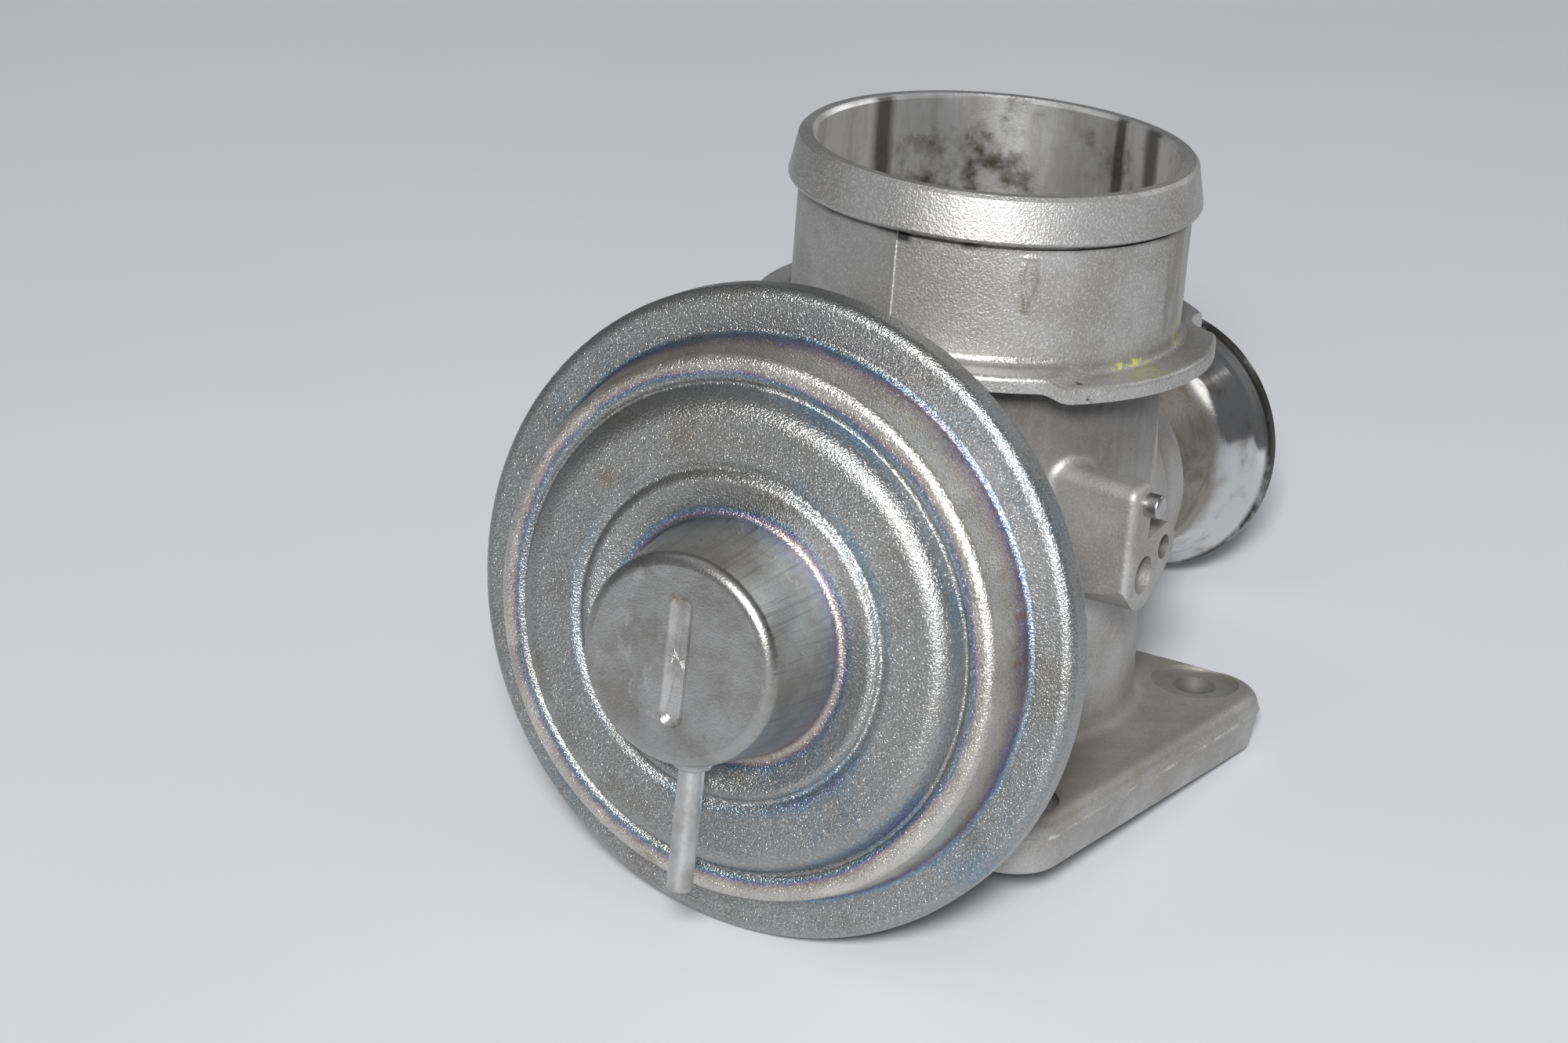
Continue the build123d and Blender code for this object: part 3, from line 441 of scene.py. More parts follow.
# %% Dirt, a painted shadow and a painted highlight on the neck
SEAM_ANGLE = math.radians(-92.2)
SCAR_ANGLE = math.radians(-53.3)
SCAR_BOTTOM = 0.0815
SCAR_TOP = 0.0912
SEAM_CLOT_ANGLE = SEAM_ANGLE + 0.035
STEP_FLECK_ANGLE = -0.68
NECK_STAIN = (0.20, 0.185, 0.165, 1)
SCAR_STAIN = (0.25, 0.235, 0.20, 1)
BLACK_DIRT_AND_SHADOW = (0.018, 0.016, 0.015, 1)


def neck_dirt_and_highlight(f, zone, pattern, colour):
    flank = f.product(f.fade(zone.angle, -1.600, -1.615), f.fade(zone.angle, -3.2, -2.9))
    colour = f.mix(f.product(flank, zone.neck, 0.35), colour, grey(0.24, 0.03))
    side = f.product(f.fade(zone.angle, -0.75, -0.30), f.fade(pattern.streak, 0.40, 0.64, 0, 0.6))
    colour = f.mix(f.product(side, zone.neck), colour, NECK_STAIN)
    # Along the seam: a painted highlight.
    seam_highlight = f.fade(f.off(zone.angle, SEAM_ANGLE), 0.0095, 0.0045, 0, 0.8)
    colour = f.mix(f.product(seam_highlight, zone.neck), colour, grey(0.78))
    by_scar = f.fade(f.off(zone.angle, SCAR_ANGLE), 0.070, 0.035, 0, 0.60)
    scar_rows = f.band(zone.height, SCAR_BOTTOM, SCAR_BOTTOM + 0.001, SCAR_TOP - 0.0005, SCAR_TOP + 0.0005)
    blotch = f.fade(f.noise(420.0, detail=4.0, roughness=0.7, at=pattern.tall), 0.40, 0.56, 0.1, 1.0)
    return f.mix(f.product(by_scar, scar_rows, blotch), colour, SCAR_STAIN)


def black_dirt_and_shadow(f, zone, colour):
    # Under the bead: a black band, partly a painted shadow under its ledge and partly clots of dirt.
    groove = f.product(f.band(zone.height, 0.0908, 0.0917, 0.0924, 0.0928), zone.outside)
    shadow_and_clots = f.product(groove, f.fade(f.noise(130.0, detail=4.0), 0.46, 0.68, 0.25, 0.9))
    seam_clot = f.product(f.fade(f.off(zone.angle, SEAM_CLOT_ANGLE), 0.06, 0.02), zone.outside)
    seam_clot = f.product(seam_clot, f.band(zone.height, 0.0902, 0.0912, 0.0924, 0.0928), 0.9)
    fleck = f.fade(f.off(zone.angle, STEP_FLECK_ANGLE), 0.06, 0.01)
    fleck = f.product(fleck, f.fade(f.noise(700.0, detail=3.0), 0.56, 0.66, 0, 0.9))
    fleck = f.product(fleck, f.band(zone.height, 0.0680, 0.0686, 0.0736, 0.0742))
    fleck = f.product(fleck, f.fade(zone.radius, 0.0340, 0.0352))
    return f.mix(f.most(shadow_and_clots, seam_clot, fleck), colour, BLACK_DIRT_AND_SHADOW)


# %% [markdown]
# The flange's deck has caught the brown dirt that runs down the casting, and nicks along its parting line
# have worn bright.

# %% Wear on the flange
FLANGE_SPLIT = 0.006
DECK_STAIN = (0.24, 0.22, 0.185, 1)


def flange_wear(f, zone, pattern, colour):
    deck = f.band(zone.height, 0.0070, 0.0080, 0.0100, 0.0135)
    stain = f.fade(pattern.patch, 0.38, 0.60, 0.10, 0.60)
    colour = f.mix(f.product(deck, stain), colour, DECK_STAIN)
    nick = f.fade(f.noise(230.0, detail=4.0, roughness=0.7), 0.52, 0.64, 0.04, 0.7)
    from_split = f.math("SUBTRACT", zone.height, FLANGE_SPLIT)
    waver = f.math("MULTIPLY_ADD", f.math("SUBTRACT", pattern.cloud, 0.5), 0.0012, from_split)
    on_split = f.fade(f.math("ABSOLUTE", waver), 0.00050, 0.00010)
    return f.mix(f.product(nick, on_split), colour, grey(0.70))


# %% [markdown]
# Inside, the spigot is bored smooth and bright. Dark runs come down from the rim and one brown-black bloom
# of baked oil spreads on the far wall; further down everything is soot. The mating face underneath and the
# bolts' spotfaces are turned, and the bolt holes are painted dark as shade, darker further down.

# %% Bored and turned faces
BLOOM_CENTRE = (-0.0165, 0.0238, 0.0885)
BORE_STREAKS = ((2.78, 0.075), (1.33, 0.05), (1.04, 0.085))
BORE_DUST = (0.66, 0.65, 0.63, 1)
BORE_MOTTLE = (0.36, 0.35, 0.33, 1)
BLOOM_BROWN = (0.065, 0.054, 0.034, 1)
RUN_BROWN = (0.065, 0.055, 0.048, 1)
SOOT = (0.022, 0.019, 0.017, 1)


def bore_colour(f, zone, pattern):
    colour = f.mix(f.fade(pattern.streak, 0.40, 0.64), grey(0.84), BORE_DUST)
    mottle = f.noise(150.0, detail=5.0, roughness=0.62)
    colour = f.mix(f.fade(mottle, 0.46, 0.72, 0, 0.6), colour, BORE_MOTTLE)
    from_bloom = f.vector("DISTANCE", f.place, BLOOM_CENTRE, output="Value")
    bloom = f.math("ADD", f.fade(from_bloom, 0.015, 0.002, 0, 0.22), mottle)
    colour = f.mix(f.fade(bloom, 0.56, 0.86, 0, 0.92), colour, BLOOM_BROWN)
    wander = f.math("MULTIPLY_ADD", pattern.streak, 0.12, zone.angle)
    for run_angle, run_width in BORE_STREAKS:
        run = f.fade(f.off(wander, run_angle), run_width * 1.3, run_width * 0.4, 0, 0.8)
        colour = f.mix(run, colour, RUN_BROWN)
    return colour


def cut_faces(f, zone, pattern, colour):
    colour = f.mix(zone.bored, colour, bore_colour(f, zone, pattern))
    turned = f.mix(f.fade(pattern.cloud, 0.4, 0.7), grey(0.48, 0.01), grey(0.34, 0.03))
    turned_share = f.product(zone.machined, f.fade(pattern.patch, 0.40, 0.60, 0.9, 0.5))
    colour = f.mix(turned_share, colour, turned)
    # The bolt holes: painted shade, darker further down.
    hole_shade = f.product(zone.spot, f.fade(zone.height, 0.0072, 0.0040), f.fade(zone.height, 0.0, 0.0004))
    colour = f.mix(hole_shade, colour, grey(0.10, 0.05))
    return f.mix(f.product(zone.sooty, 0.96), colour, SOOT)


# %% [markdown]
# Two daubs of yellow inspection paint were rubbed on at the foot of the neck. Each is given by its angle,
# its half width in radians, and its lower and upper edge.

# %% Inspection paint
PAINT_DAUBS = ((-0.30, 0.17, 0.0717, 0.0728), (0.20, 0.12, 0.0720, 0.0752))
PAINT_YELLOW = (0.50, 0.52, 0.07, 1)


def paint_mask(f, zone):
    daubs = []
    for angle, width, low, high in PAINT_DAUBS:
        across = f.fade(f.off(zone.angle, angle), width, width * 0.3)
        upright = f.band(zone.height, low - 0.0005, low + 0.0004, high - 0.0004, high + 0.0008)
        daubs.append(f.product(across, upright))
    rubbed = f.fade(f.noise(330.0, detail=4.0, roughness=0.75), 0.42, 0.54, 0, 0.9)
    return f.product(zone.outside, f.most(*daubs), rubbed)


# %% [markdown]
# The last step puts the parts together. Stains and paint are dull, so they lower Metallic as well as the
# colour; the cut faces are smoother; the blasted skin gets its grain as relief.

# %% Cast aluminium
def cast_aluminium():
    f = Finish("cast_aluminium")
    zone = casting_zones(f)
    pattern = casting_noises(f)
    colour = neck_dirt_and_highlight(f, zone, pattern, cast_skin(f, zone, pattern))
    colour = flange_wear(f, zone, pattern, black_dirt_and_shadow(f, zone, colour))
    colour = cut_faces(f, zone, pattern, colour)
    paint = paint_mask(f, zone)
    colour = f.mix(paint, colour, PAINT_YELLOW)

    rough = f.math("ADD", f.math("MULTIPLY_ADD", pattern.cloud, 0.24, 0.32), f.product(zone.lower, 0.10))
    rough = f.math("SUBTRACT", rough, f.product(zone.smooth, 0.06))
    rough = f.most(rough, f.product(zone.sooty, 0.85), f.product(paint, 0.6))
    dull = f.math("ADD", f.fade(pattern.patch, 0.3, 0.7, 0.16, 0.38), f.product(zone.lower, 0.14))
    dull = f.product(dull, f.without(f.product(zone.smooth, 0.6)))
    metal = f.without(f.most(dull, paint, f.product(zone.sooty, 0.9)))
    f.feed(f.shader.inputs["Metallic"], metal)
    skin = f.without(f.most(f.product(zone.smooth, 0.85), f.product(zone.lower, 0.5)))
    normal = f.bump(f.product(pattern.grain, skin), 0.00013, 0.9)
    normal = f.bump(f.noise(210.0, detail=2.0), 0.00010, 0.2, under=normal)
    return f.finish(colour, rough, normal)


# %% [markdown]
# The actuator's shells are drawn from zinc-plated steel. The passivation leaves a film as thin as a soap
# bubble's, so its colour follows its thickness: straw, brown, violet, blue and pale again. It pools in the
# inner corners of the steps and drains off the crowns. So one ramp gives film thickness by radius in
# millimetres, noise disturbs it, and a second ramp turns thickness into colour. Across the outer step the
# ramp runs to its pale end, which is partly the film's tint and partly a painted highlight.

# %% Passivation film
FILM_COLOURS = (
    (0.00, (0.37, 0.37, 0.36, 1)),
    (0.22, (0.35, 0.36, 0.365, 1)),
    (0.36, (0.23, 0.32, 0.39, 1)),
    (0.46, (0.20, 0.25, 0.41, 1)),
    (0.54, (0.34, 0.29, 0.39, 1)),
    (0.64, (0.44, 0.38, 0.37, 1)),
    (0.78, (0.55, 0.51, 0.45, 1)),
    (1.00, (0.60, 0.59, 0.57, 1)),
)
# From 39 to 43 millimetres the pale end is partly the film's tint and partly a painted highlight.
FILM_AND_HIGHLIGHT_BY_RADIUS = (
    (0.00, 0.05), (17.5, 0.10), (18.6, 0.66), (19.6, 0.46), (20.8, 0.12), (24.0, 0.05),
    (26.8, 0.26), (28.5, 0.10), (35.0, 0.06), (36.6, 0.30), (37.8, 0.16), (39.3, 0.62),
    (40.2, 0.92), (42.2, 0.96), (42.9, 0.60), (43.6, 0.42), (44.6, 0.14),
)
FILM_REACH = 51.0


def film_and_highlight_tint(f, radius):
    share = f.math("DIVIDE", radius, FILM_REACH / 1000)
    film = f.ramp(share, [(at / FILM_REACH, (level, level, level, 1)) for at, level in FILM_AND_HIGHLIGHT_BY_RADIUS])
    drift = f.noise(34.0, detail=4.0, roughness=0.6, distortion=0.6)
    fleck = f.noise(900.0, detail=2.0)
    film = f.math("ADD", film, f.product(f.math("SUBTRACT", drift, 0.5), 0.95))
    film = f.math("ADD", film, f.product(f.math("SUBTRACT", fleck, 0.5), 0.10))
    return f.ramp(film, FILM_COLOURS)


# %% [markdown]
# Over the film lie cloudy dirt, a painted sheen in pale patches along the outer step, a fine grain of dark
# points and of bright ones that are painted glints, and painted shade with grime in the corners.

# %% Skin of the sheet
SHEET_DIRT = (0.19, 0.175, 0.15, 1)
STEP_SHEEN = (0.74, 0.71, 0.67, 1)
SHEET_SHADE_AND_GRIME = (0.06, 0.052, 0.046, 1)


def sheet_skin(f, sheet):
    colour = f.mix(f.fade(sheet.cloud, 0.46, 0.74, 0, 0.5), film_and_highlight_tint(f, sheet.radius), SHEET_DIRT)
    smear = f.noise(70.0, detail=5.0, roughness=0.6, distortion=1.2)
    # A painted sheen: pale patches round the outer step.
    on_step = f.band(sheet.radius, 0.0385, 0.0400, 0.0424, 0.0432)
    colour = f.mix(f.product(on_step, f.fade(smear, 0.46, 0.62, 0, 0.75)), colour, STEP_SHEEN)
    # Bright grains: painted glints.
    colour = f.mix(f.fade(sheet.grain, 0.50, 0.72, 0, 0.45), colour, grey(0.80))
    colour = f.mix(f.fade(sheet.grain, 0.48, 0.26, 0, 0.40), colour, grey(0.14, 0.04))
    # Painted shade in the corners, from occlusion, with patches of grime.
    corner = f.math("ADD", f.shade_and_grime(0.004), f.product(sheet.cloud, 0.2))
    return f.mix(f.fade(corner, 0.42, 0.8, 0, 0.75), colour, SHEET_SHADE_AND_GRIME)


# %% [markdown]
# The drawn dome was squeezed smooth and has lost most of its film. It is scuffed on one side and keeps fine
# draw lines down its wall, and the floor of its slot is painted bright as a highlight.

# %% Dome
def bare_dome(f, sheet, colour):
    """The colour and relief after the dome's wear, with a painted highlight in its slot."""
    on_dome = f.product(f.fade(sheet.radius, 0.0192, 0.0183), f.fade(sheet.out, 0.0155, 0.0170))
    bare = f.mix(f.fade(sheet.cloud, 0.35, 0.65), grey(0.42, 0.01), grey(0.29, 0.04))
    colour = f.mix(f.product(on_dome, 0.8), colour, bare)
    slanted = f.moved(sheet.local, Rotation=(0, 0.5, 0), Scale=(1, 1, 0.7))
    scuff = f.noise(330.0, detail=6.0, roughness=0.72, distortion=0.4, at=slanted)
    scuff = f.fade(scuff, 0.50, 0.72, 0, 0.6)
    worn_side = f.fade(f.part_of(sheet.local, "X"), 0.002, -0.008, 0.25, 1.0)
    colour = f.mix(f.product(on_dome, worn_side, scuff), colour, grey(0.62))
    # The floor of the slot: a painted highlight.
    slot_highlight = f.band(sheet.out, 0.0298, 0.0303, 0.0311, 0.03135)
    slot_highlight = f.product(slot_highlight, f.fade(sheet.radius, 0.0118, 0.0112))
    slot_highlight = f.product(slot_highlight, f.fade(sheet.cloud, 0.60, 0.40, 0.3, 0.85))
    colour = f.mix(slot_highlight, colour, grey(0.60, 0.01))
    round_it = f.product(angle_of(f, f.part_of(sheet.local, "Z"), f.part_of(sheet.local, "X")), 0.0175)
    unrolled = f.add("ShaderNodeCombineXYZ", {"X": round_it, "Y": f.product(sheet.out, 0.04)})
    line = f.noise(1100.0, detail=3.0, roughness=0.6, at=unrolled.outputs["Vector"])
    on_wall = f.product(on_dome, f.fade(sheet.out, 0.0312, 0.0302))
    colour = f.mix(f.product(on_wall, f.fade(line, 0.50, 0.66, 0, 0.45)), colour, grey(0.16, 0.05))
    squeezed = f.product(sheet.grain, f.without(f.product(on_dome, 0.75)))
    return colour, f.math("ADD", squeezed, f.product(line, on_wall, 0.35))


# %% [markdown]
# Rust has started where the film was knocked through. Each spot is given by its place across and up in
# millimetres, its size, and how dense it is.

# %% Rust
RUST_SPOTS = (
    (-0.9, 9.4, 1.5, 0.8), (-41.7, -13.6, 0.9, 0.6), (-22.7, 19.2, 2.6, 0.45), (-11.2, 28.9, 3.2, 0.35),
    (41.8, 11.4, 0.9, 0.7), (42.8, 4.6, 1.1, 0.7), (-24.0, -36.5, 0.8, 0.6), (4.8, -21.0, 1.1, 0.5),
)
RUST_BROWN = (0.25, 0.13, 0.055, 1)


def rust_mask(f, local):
    ragged = f.product(f.math("SUBTRACT", f.noise(500.0, detail=4.0), 0.5), 0.0014)
    flat = f.vector("MULTIPLY", local, (1, 0, 1))
    spots = []
    for across, up, size, dense in RUST_SPOTS:
        away = f.vector("DISTANCE", flat, (across / 1000, 0, up / 1000), output="Value")
        spots.append(f.fade(f.math("ADD", away, ragged), size / 1000, size / 8000, 0, dense))
    broken = f.fade(f.noise(1500.0, detail=4.0, roughness=0.7), 0.42, 0.60, 0.15, 1.0)
    return f.product(f.most(*spots), broken)


# %% Zinc-plated sheet
def zinc_sheet(name, domed):
    f = Finish(name, Metallic=0.96)
    sheet = SimpleNamespace(local=on_axis(f))
    sheet.radius = radius_of(f, sheet.local, (1, 0, 1))
    sheet.out = f.product(f.part_of(sheet.local, "Y"), -1.0)
    sheet.grain = f.noise(3000.0, detail=2.0, roughness=0.6)
    sheet.cloud = f.noise(110.0, detail=5.0, roughness=0.65)
    colour = sheet_skin(f, sheet)
    rough = f.math("MULTIPLY_ADD", sheet.cloud, 0.22, 0.20)
    relief = sheet.grain
    if domed:
        colour, relief = bare_dome(f, sheet, colour)
        rust = rust_mask(f, sheet.local)
        colour = f.mix(rust, colour, RUST_BROWN)
        rough = f.most(rough, f.product(rust, 0.8))
    normal = f.bump(relief, 0.00020, 0.95)
    normal = f.bump(f.noise(240.0, detail=2.0), 0.00012, 0.25, under=normal)
    return f.finish(colour, rough, normal)


# %% [markdown]
# The exhaust pipe is polished stainless steel. Heat has tinted it near the housing, exhaust has blackened it
# inside, and forming has left faint rings. Its gloss is uneven, because handling and soot dull it in patches.

# %% Polished steel
PIPE_INSIDE = 0.0169
LIP_RADIUS = 0.0226
FLARE_FOOT = 0.126
BAKED_BROWN = ((0.33, 0.31, 0.28, 1), (0.17, 0.155, 0.135, 1))
SMEAR_BROWN = (0.32, 0.29, 0.25, 1)
LIP_SHADE_AND_DIRT = (0.035, 0.030, 0.026, 1)
PIPE_SOOT = (0.018, 0.016, 0.014, 1)


def polished_pipe():
    f = Finish("polished_pipe")
    local = on_axis(f)
    radius = radius_of(f, local, (1, 0, 1))
    along = f.part_of(local, "Y")
    smear = f.noise(95.0, detail=5.0, roughness=0.65, distortion=0.5)
    rings = f.noise(1.0, detail=3.0, at=f.moved(local, Scale=(40, 2600, 40)))
    fine = f.noise(1500.0, detail=3.0, roughness=0.65)
    # The straight part has baked dull and brown; the flare has kept its polish.
    wavering = f.math("ADD", along, f.product(f.math("SUBTRACT", smear, 0.5), 0.016))
    baked = f.fade(wavering, FLARE_FOOT + 0.004, FLARE_FOOT - 0.004)
    colour = f.mix(f.fade(smear, 0.50, 0.74), grey(0.68), SMEAR_BROWN)
    brown = f.mix(f.fade(smear, 0.38, 0.62), *BAKED_BROWN)
    colour = f.mix(baked, colour, f.mix(f.fade(fine, 0.5, 0.75, 0, 0.6), brown, grey(0.36, 0.03)))
    # The flare's lip: painted shade and dirt, dark all round and darker in patches.
    lip = f.fade(radius, LIP_RADIUS, LIP_RADIUS + 0.0008)
    colour = f.mix(f.product(lip, f.fade(smear, 0.40, 0.50, 0.55, 0.95)), colour, LIP_SHADE_AND_DIRT)
    inside = f.fade(radius, PIPE_INSIDE + 0.0014, PIPE_INSIDE + 0.0001)
    inside = f.product(inside, f.fade(smear, 0.20, 0.45, 0.75, 1.0))
    colour = f.mix(inside, colour, PIPE_SOOT)
    f.feed(f.shader.inputs["Metallic"], f.without(inside))
    rough = f.math("ADD", f.math("MULTIPLY_ADD", smear, 0.14, 0.05), f.product(baked, 0.36))
    rough = f.most(rough, f.product(inside, 0.85), f.product(lip, 0.45))
    normal = f.bump(rings, 0.00002, 0.35)
    normal = f.bump(fine, 0.00014, f.product(baked, 0.6), under=normal)
    normal = f.bump(f.noise(150.0, detail=2.0), 0.00012, 0.25, under=normal)
    return f.finish(colour, rough, normal)


# %% [markdown]
# The other metals differ in tone, polish and dirt, not in kind. One function makes them, from a base tone, a
# stain tone, a roughness and a grain size, so that their differences can be read side by side in a table.

# %% Plain metals
METAL_SHADE_AND_GRIME = (0.04, 0.034, 0.03, 1)


def plain_metal(name, tone, stain, roughness, grain_scale, relief, soot=0.0):
    """Metal with clouds of stain, fine grain, and painted shade with grime in its corners; soot darkens it as
    a whole.
    """
    f = Finish(name, Metallic=1.0)
    cloud = f.noise(180.0, detail=4.0, roughness=0.6)
    grain = f.noise(grain_scale, detail=3.0, roughness=0.6)
    colour = f.mix(f.fade(cloud, 0.40, 0.70), tone, stain)
    colour = f.mix(f.fade(grain, 0.40, 0.80, 0, 0.4), colour, grey(0.62))
    # Painted shade in the corners, from occlusion, with patches of grime.
    corner = f.math("ADD", f.shade_and_grime(0.0025), f.product(cloud, 0.25))
    shade_and_grime = f.fade(corner, 0.45 - 0.3 * soot, 0.85 - 0.3 * soot, 0, 0.85)
    colour = f.mix(shade_and_grime, colour, METAL_SHADE_AND_GRIME)
    rough = f.math("MULTIPLY_ADD", cloud, 0.18, roughness)
    rough = f.math("ADD", rough, f.product(shade_and_grime, 0.3))
    return f.finish(colour, rough, f.bump(grain, relief, 0.5))


METALS = {
    "nipple_steel": (grey(0.60), grey(0.38, 0.04), 0.34, 1400.0, 0.00008, 0.0),
    "pin_steel": (grey(0.50), grey(0.34, 0.02), 0.24, 1600.0, 0.00008, 0.0),
    "spring_steel": (grey(0.30), grey(0.20, 0.05), 0.30, 1200.0, 0.00004, 0.0),
    "seat_steel": (grey(0.30, 0.05), (0.14, 0.10, 0.07, 1), 0.38, 900.0, 0.00008, 0.6),
    "stem_steel": (grey(0.40, 0.03), (0.17, 0.13, 0.10, 1), 0.26, 1500.0, 0.00004, 0.4),
    "plate_steel": (grey(0.45), grey(0.36, 0.02), 0.30, 1300.0, 0.00005, 0.0),
    "screw_steel": (grey(0.42, 0.01), (0.36, 0.33, 0.26, 1), 0.32, 1300.0, 0.00005, 0.1),
    "guide_bronze": ((0.50, 0.36, 0.20, 1), (0.28, 0.18, 0.09, 1), 0.40, 2000.0, 0.00008, 0.3),
}
finishes = {name: plain_metal(name, *facts) for name, facts in METALS.items()}

# %% [markdown]
# Rubber, graphite and gasket fibre are not metals: they scatter light, so most of their look is a dark,
# uneven base and a rough, grainy surface.

# %% Soft and pressed materials
def dull_material(name, tone, dust, roughness, grain_scale, relief):
    """A non-metal with dusty patches and pressed grain."""
    f = Finish(name, Metallic=0.0)
    patch = f.noise(140.0, detail=4.0, roughness=0.6)
    grain = f.noise(grain_scale, detail=3.0, roughness=0.6)
    colour = f.mix(f.fade(patch, 0.45, 0.75, 0, 0.7), tone, dust)
    colour = f.mix(f.fade(grain, 0.5, 0.85, 0, 0.3), colour, dust)
    rough = f.fade(patch, 0.3, 0.7, roughness, roughness + 0.15)
    return f.finish(colour, rough, f.bump(grain, relief, 0.5))


DULL = {
    "diaphragm_rubber": ((0.030, 0.030, 0.031, 1), (0.07, 0.068, 0.065, 1), 0.55, 2600.0, 0.00008),
    "seal_rubber": ((0.035, 0.060, 0.037, 1), (0.09, 0.10, 0.08, 1), 0.42, 1500.0, 0.00004),
    "packed_graphite": ((0.060, 0.060, 0.064, 1), (0.11, 0.11, 0.11, 1), 0.45, 2200.0, 0.00006),
    "gasket_fibre": ((0.25, 0.24, 0.22, 1), (0.36, 0.34, 0.31, 1), 0.75, 1700.0, 0.00010),
}
finishes.update({name: dull_material(name, *facts) for name, facts in DULL.items()})
finishes["cast_aluminium"] = cast_aluminium()
finishes["cover_zinc"] = zinc_sheet("cover_zinc", domed=True)
finishes["cup_zinc"] = zinc_sheet("cup_zinc", domed=False)
finishes["polished_pipe"] = polished_pipe()

# %% [markdown]
# A casting is never as clean as its drawing. Where the two halves of the die met, thin metal squeezed out
# and left a fine uneven ridge: one runs round the base flange, another up the neck. A scar on the neck shows
# where a flaw in the die was dressed. Each is a shallow skin laid on the casting, whose edges dip under its
# surface, so that the relief is real and no border shows. The flange's ridge follows its outline, so that
# outline comes first.

# %% Rounded outline
FLANGE_CORNERS = ((0.0463, 0.0318), (-0.0463, 0.0318), (-0.0392, -0.0482), (0.0392, -0.0482))
FLANGE_CORNER_RADIUS = 0.009
ARC_POINTS = 24


def rounded_outline(corners, radius, count):
    """Points evenly spaced round a polygon whose corners are arcs, and the outward normal at each.

    An arc's centre lies inward from its corner by the radius over the sine of half the corner's angle.
    """
    corner = np.array(corners)
    ahead = np.roll(corner, -1, axis=0) - corner
    ahead /= np.linalg.norm(ahead, axis=1, keepdims=True)
    behind = -np.roll(ahead, 1, axis=0)
    bisector = ahead + behind
    bisector /= np.linalg.norm(bisector, axis=1, keepdims=True)
    half_sine = np.sqrt((1 - (ahead * behind).sum(axis=1)) / 2)
    centre = corner + bisector * (radius / half_sine)[:, None]
    start = np.arctan2(behind[:, 0], -behind[:, 1])
    sweep = np.pi - np.arccos((ahead * behind).sum(axis=1))
    angles = start[:, None] + sweep[:, None] * np.linspace(0, 1, ARC_POINTS)
    arcs = centre[:, None] + radius * np.stack([np.cos(angles), np.sin(angles)], axis=-1)
    arcs = arcs.reshape(-1, 2)
    track = np.concatenate([arcs, arcs[:1]])
    run = np.concatenate([[0], np.cumsum(np.linalg.norm(np.diff(track, axis=0), axis=1))])
    at = np.linspace(0, run[-1], count, endpoint=False)
    line = np.stack([np.interp(at, run, track[:, 0]), np.interp(at, run, track[:, 1])], axis=1)
    step = np.roll(line, -1, axis=0) - np.roll(line, 1, axis=0)
    normal = np.stack([step[:, 1], -step[:, 0]], axis=1)
    return line, normal / np.linalg.norm(normal, axis=1, keepdims=True), at


def uneven(at, wavelengths, seed):
    """Sums of sines with set wavelengths and seeded phases, brought to about 0 to 1."""
    draw = np.random.default_rng(seed)
    waves = [np.sin(2 * np.pi * at / length + draw.uniform(0, 2 * np.pi)) for length in wavelengths]
    return np.clip(0.5 + 0.5 * np.mean(waves, axis=0) * 1.6, 0, 1)


# %% Flash round the flange
FLASH_OUT = 0.00034
FLASH_WAVES = (0.031, 0.0113, 0.0047, 0.0021)
FLASH_DRIFT = 0.0002
FLASH_DRIFT_WAVES = (0.046, 0.017)
FLASH_HALF_HEIGHT = 0.00035
FLASH_SINK = 0.00008
FLASH_STATIONS = 1400


def flange_flash():
    """Round the outline, a bell-shaped section: out by height times (1 - v squared) squared, less the sink.

    The height varies between a quarter and the whole of its most, and the ridge drifts up and down a little.
    """
    line, normal, at = rounded_outline(FLANGE_CORNERS, FLANGE_CORNER_RADIUS, FLASH_STATIONS)
    height = FLASH_OUT * (0.25 + 0.75 * uneven(at, FLASH_WAVES, seed=5))
    drift = FLASH_DRIFT * (uneven(at, FLASH_DRIFT_WAVES, seed=8) - 0.5)
    v = np.linspace(-1, 1, 9)[:, None]
    out = height * (1 - v ** 2) ** 2 - FLASH_SINK * v ** 2
    flat = line[None] + normal[None] * out[..., None]
    level = FLANGE_SPLIT + drift + FLASH_HALF_HEIGHT * v + 0 * out
    return np.concatenate([flat, level[..., None]], axis=-1)


flash = grid_object("flange_flash", flange_flash(), ring=True)

# %% Seam on the neck
SEAM_STEP = 0.0003
SEAM_FOOT = 0.0742
SEAM_TOP = 0.0916
SEAM_HALF_WIDTH = 0.00035
SEAM_WAVES = (0.0071, 0.0023, 0.0009)


def neck_seam():
    """Up the neck, a thin bell, (1 - v squared) cubed, over a base that falls by a step on its far side."""
    z = np.linspace(SEAM_FOOT, SEAM_TOP, 120)[:, None]
    v = np.linspace(-1, 1, 11)[None]
    height = 0.00016 + 0.00014 * uneven(z, SEAM_WAVES, seed=3)
    fall = SEAM_STEP / (1 + np.exp(9 * v))
    radius = NECK_RADIUS - fall + height * (1 - v ** 2) ** 3 - 0.00006 * v ** 4
    angle = SEAM_ANGLE + v * SEAM_HALF_WIDTH / NECK_RADIUS + 0 * z
    return np.stack([radius * np.cos(angle), radius * np.sin(angle), z + 0 * v], axis=-1)


# %% Scar on the neck
SCAR_HALF_WIDTH = 0.0024
SCAR_HEIGHT = 0.00024
SCAR_SINK = 0.00004


def bell(value, centre, width):
    """1 at the centre, falling as exp(-x squared), where x is the distance from it over the width."""
    return np.exp(-(((value - centre) / width) ** 2))


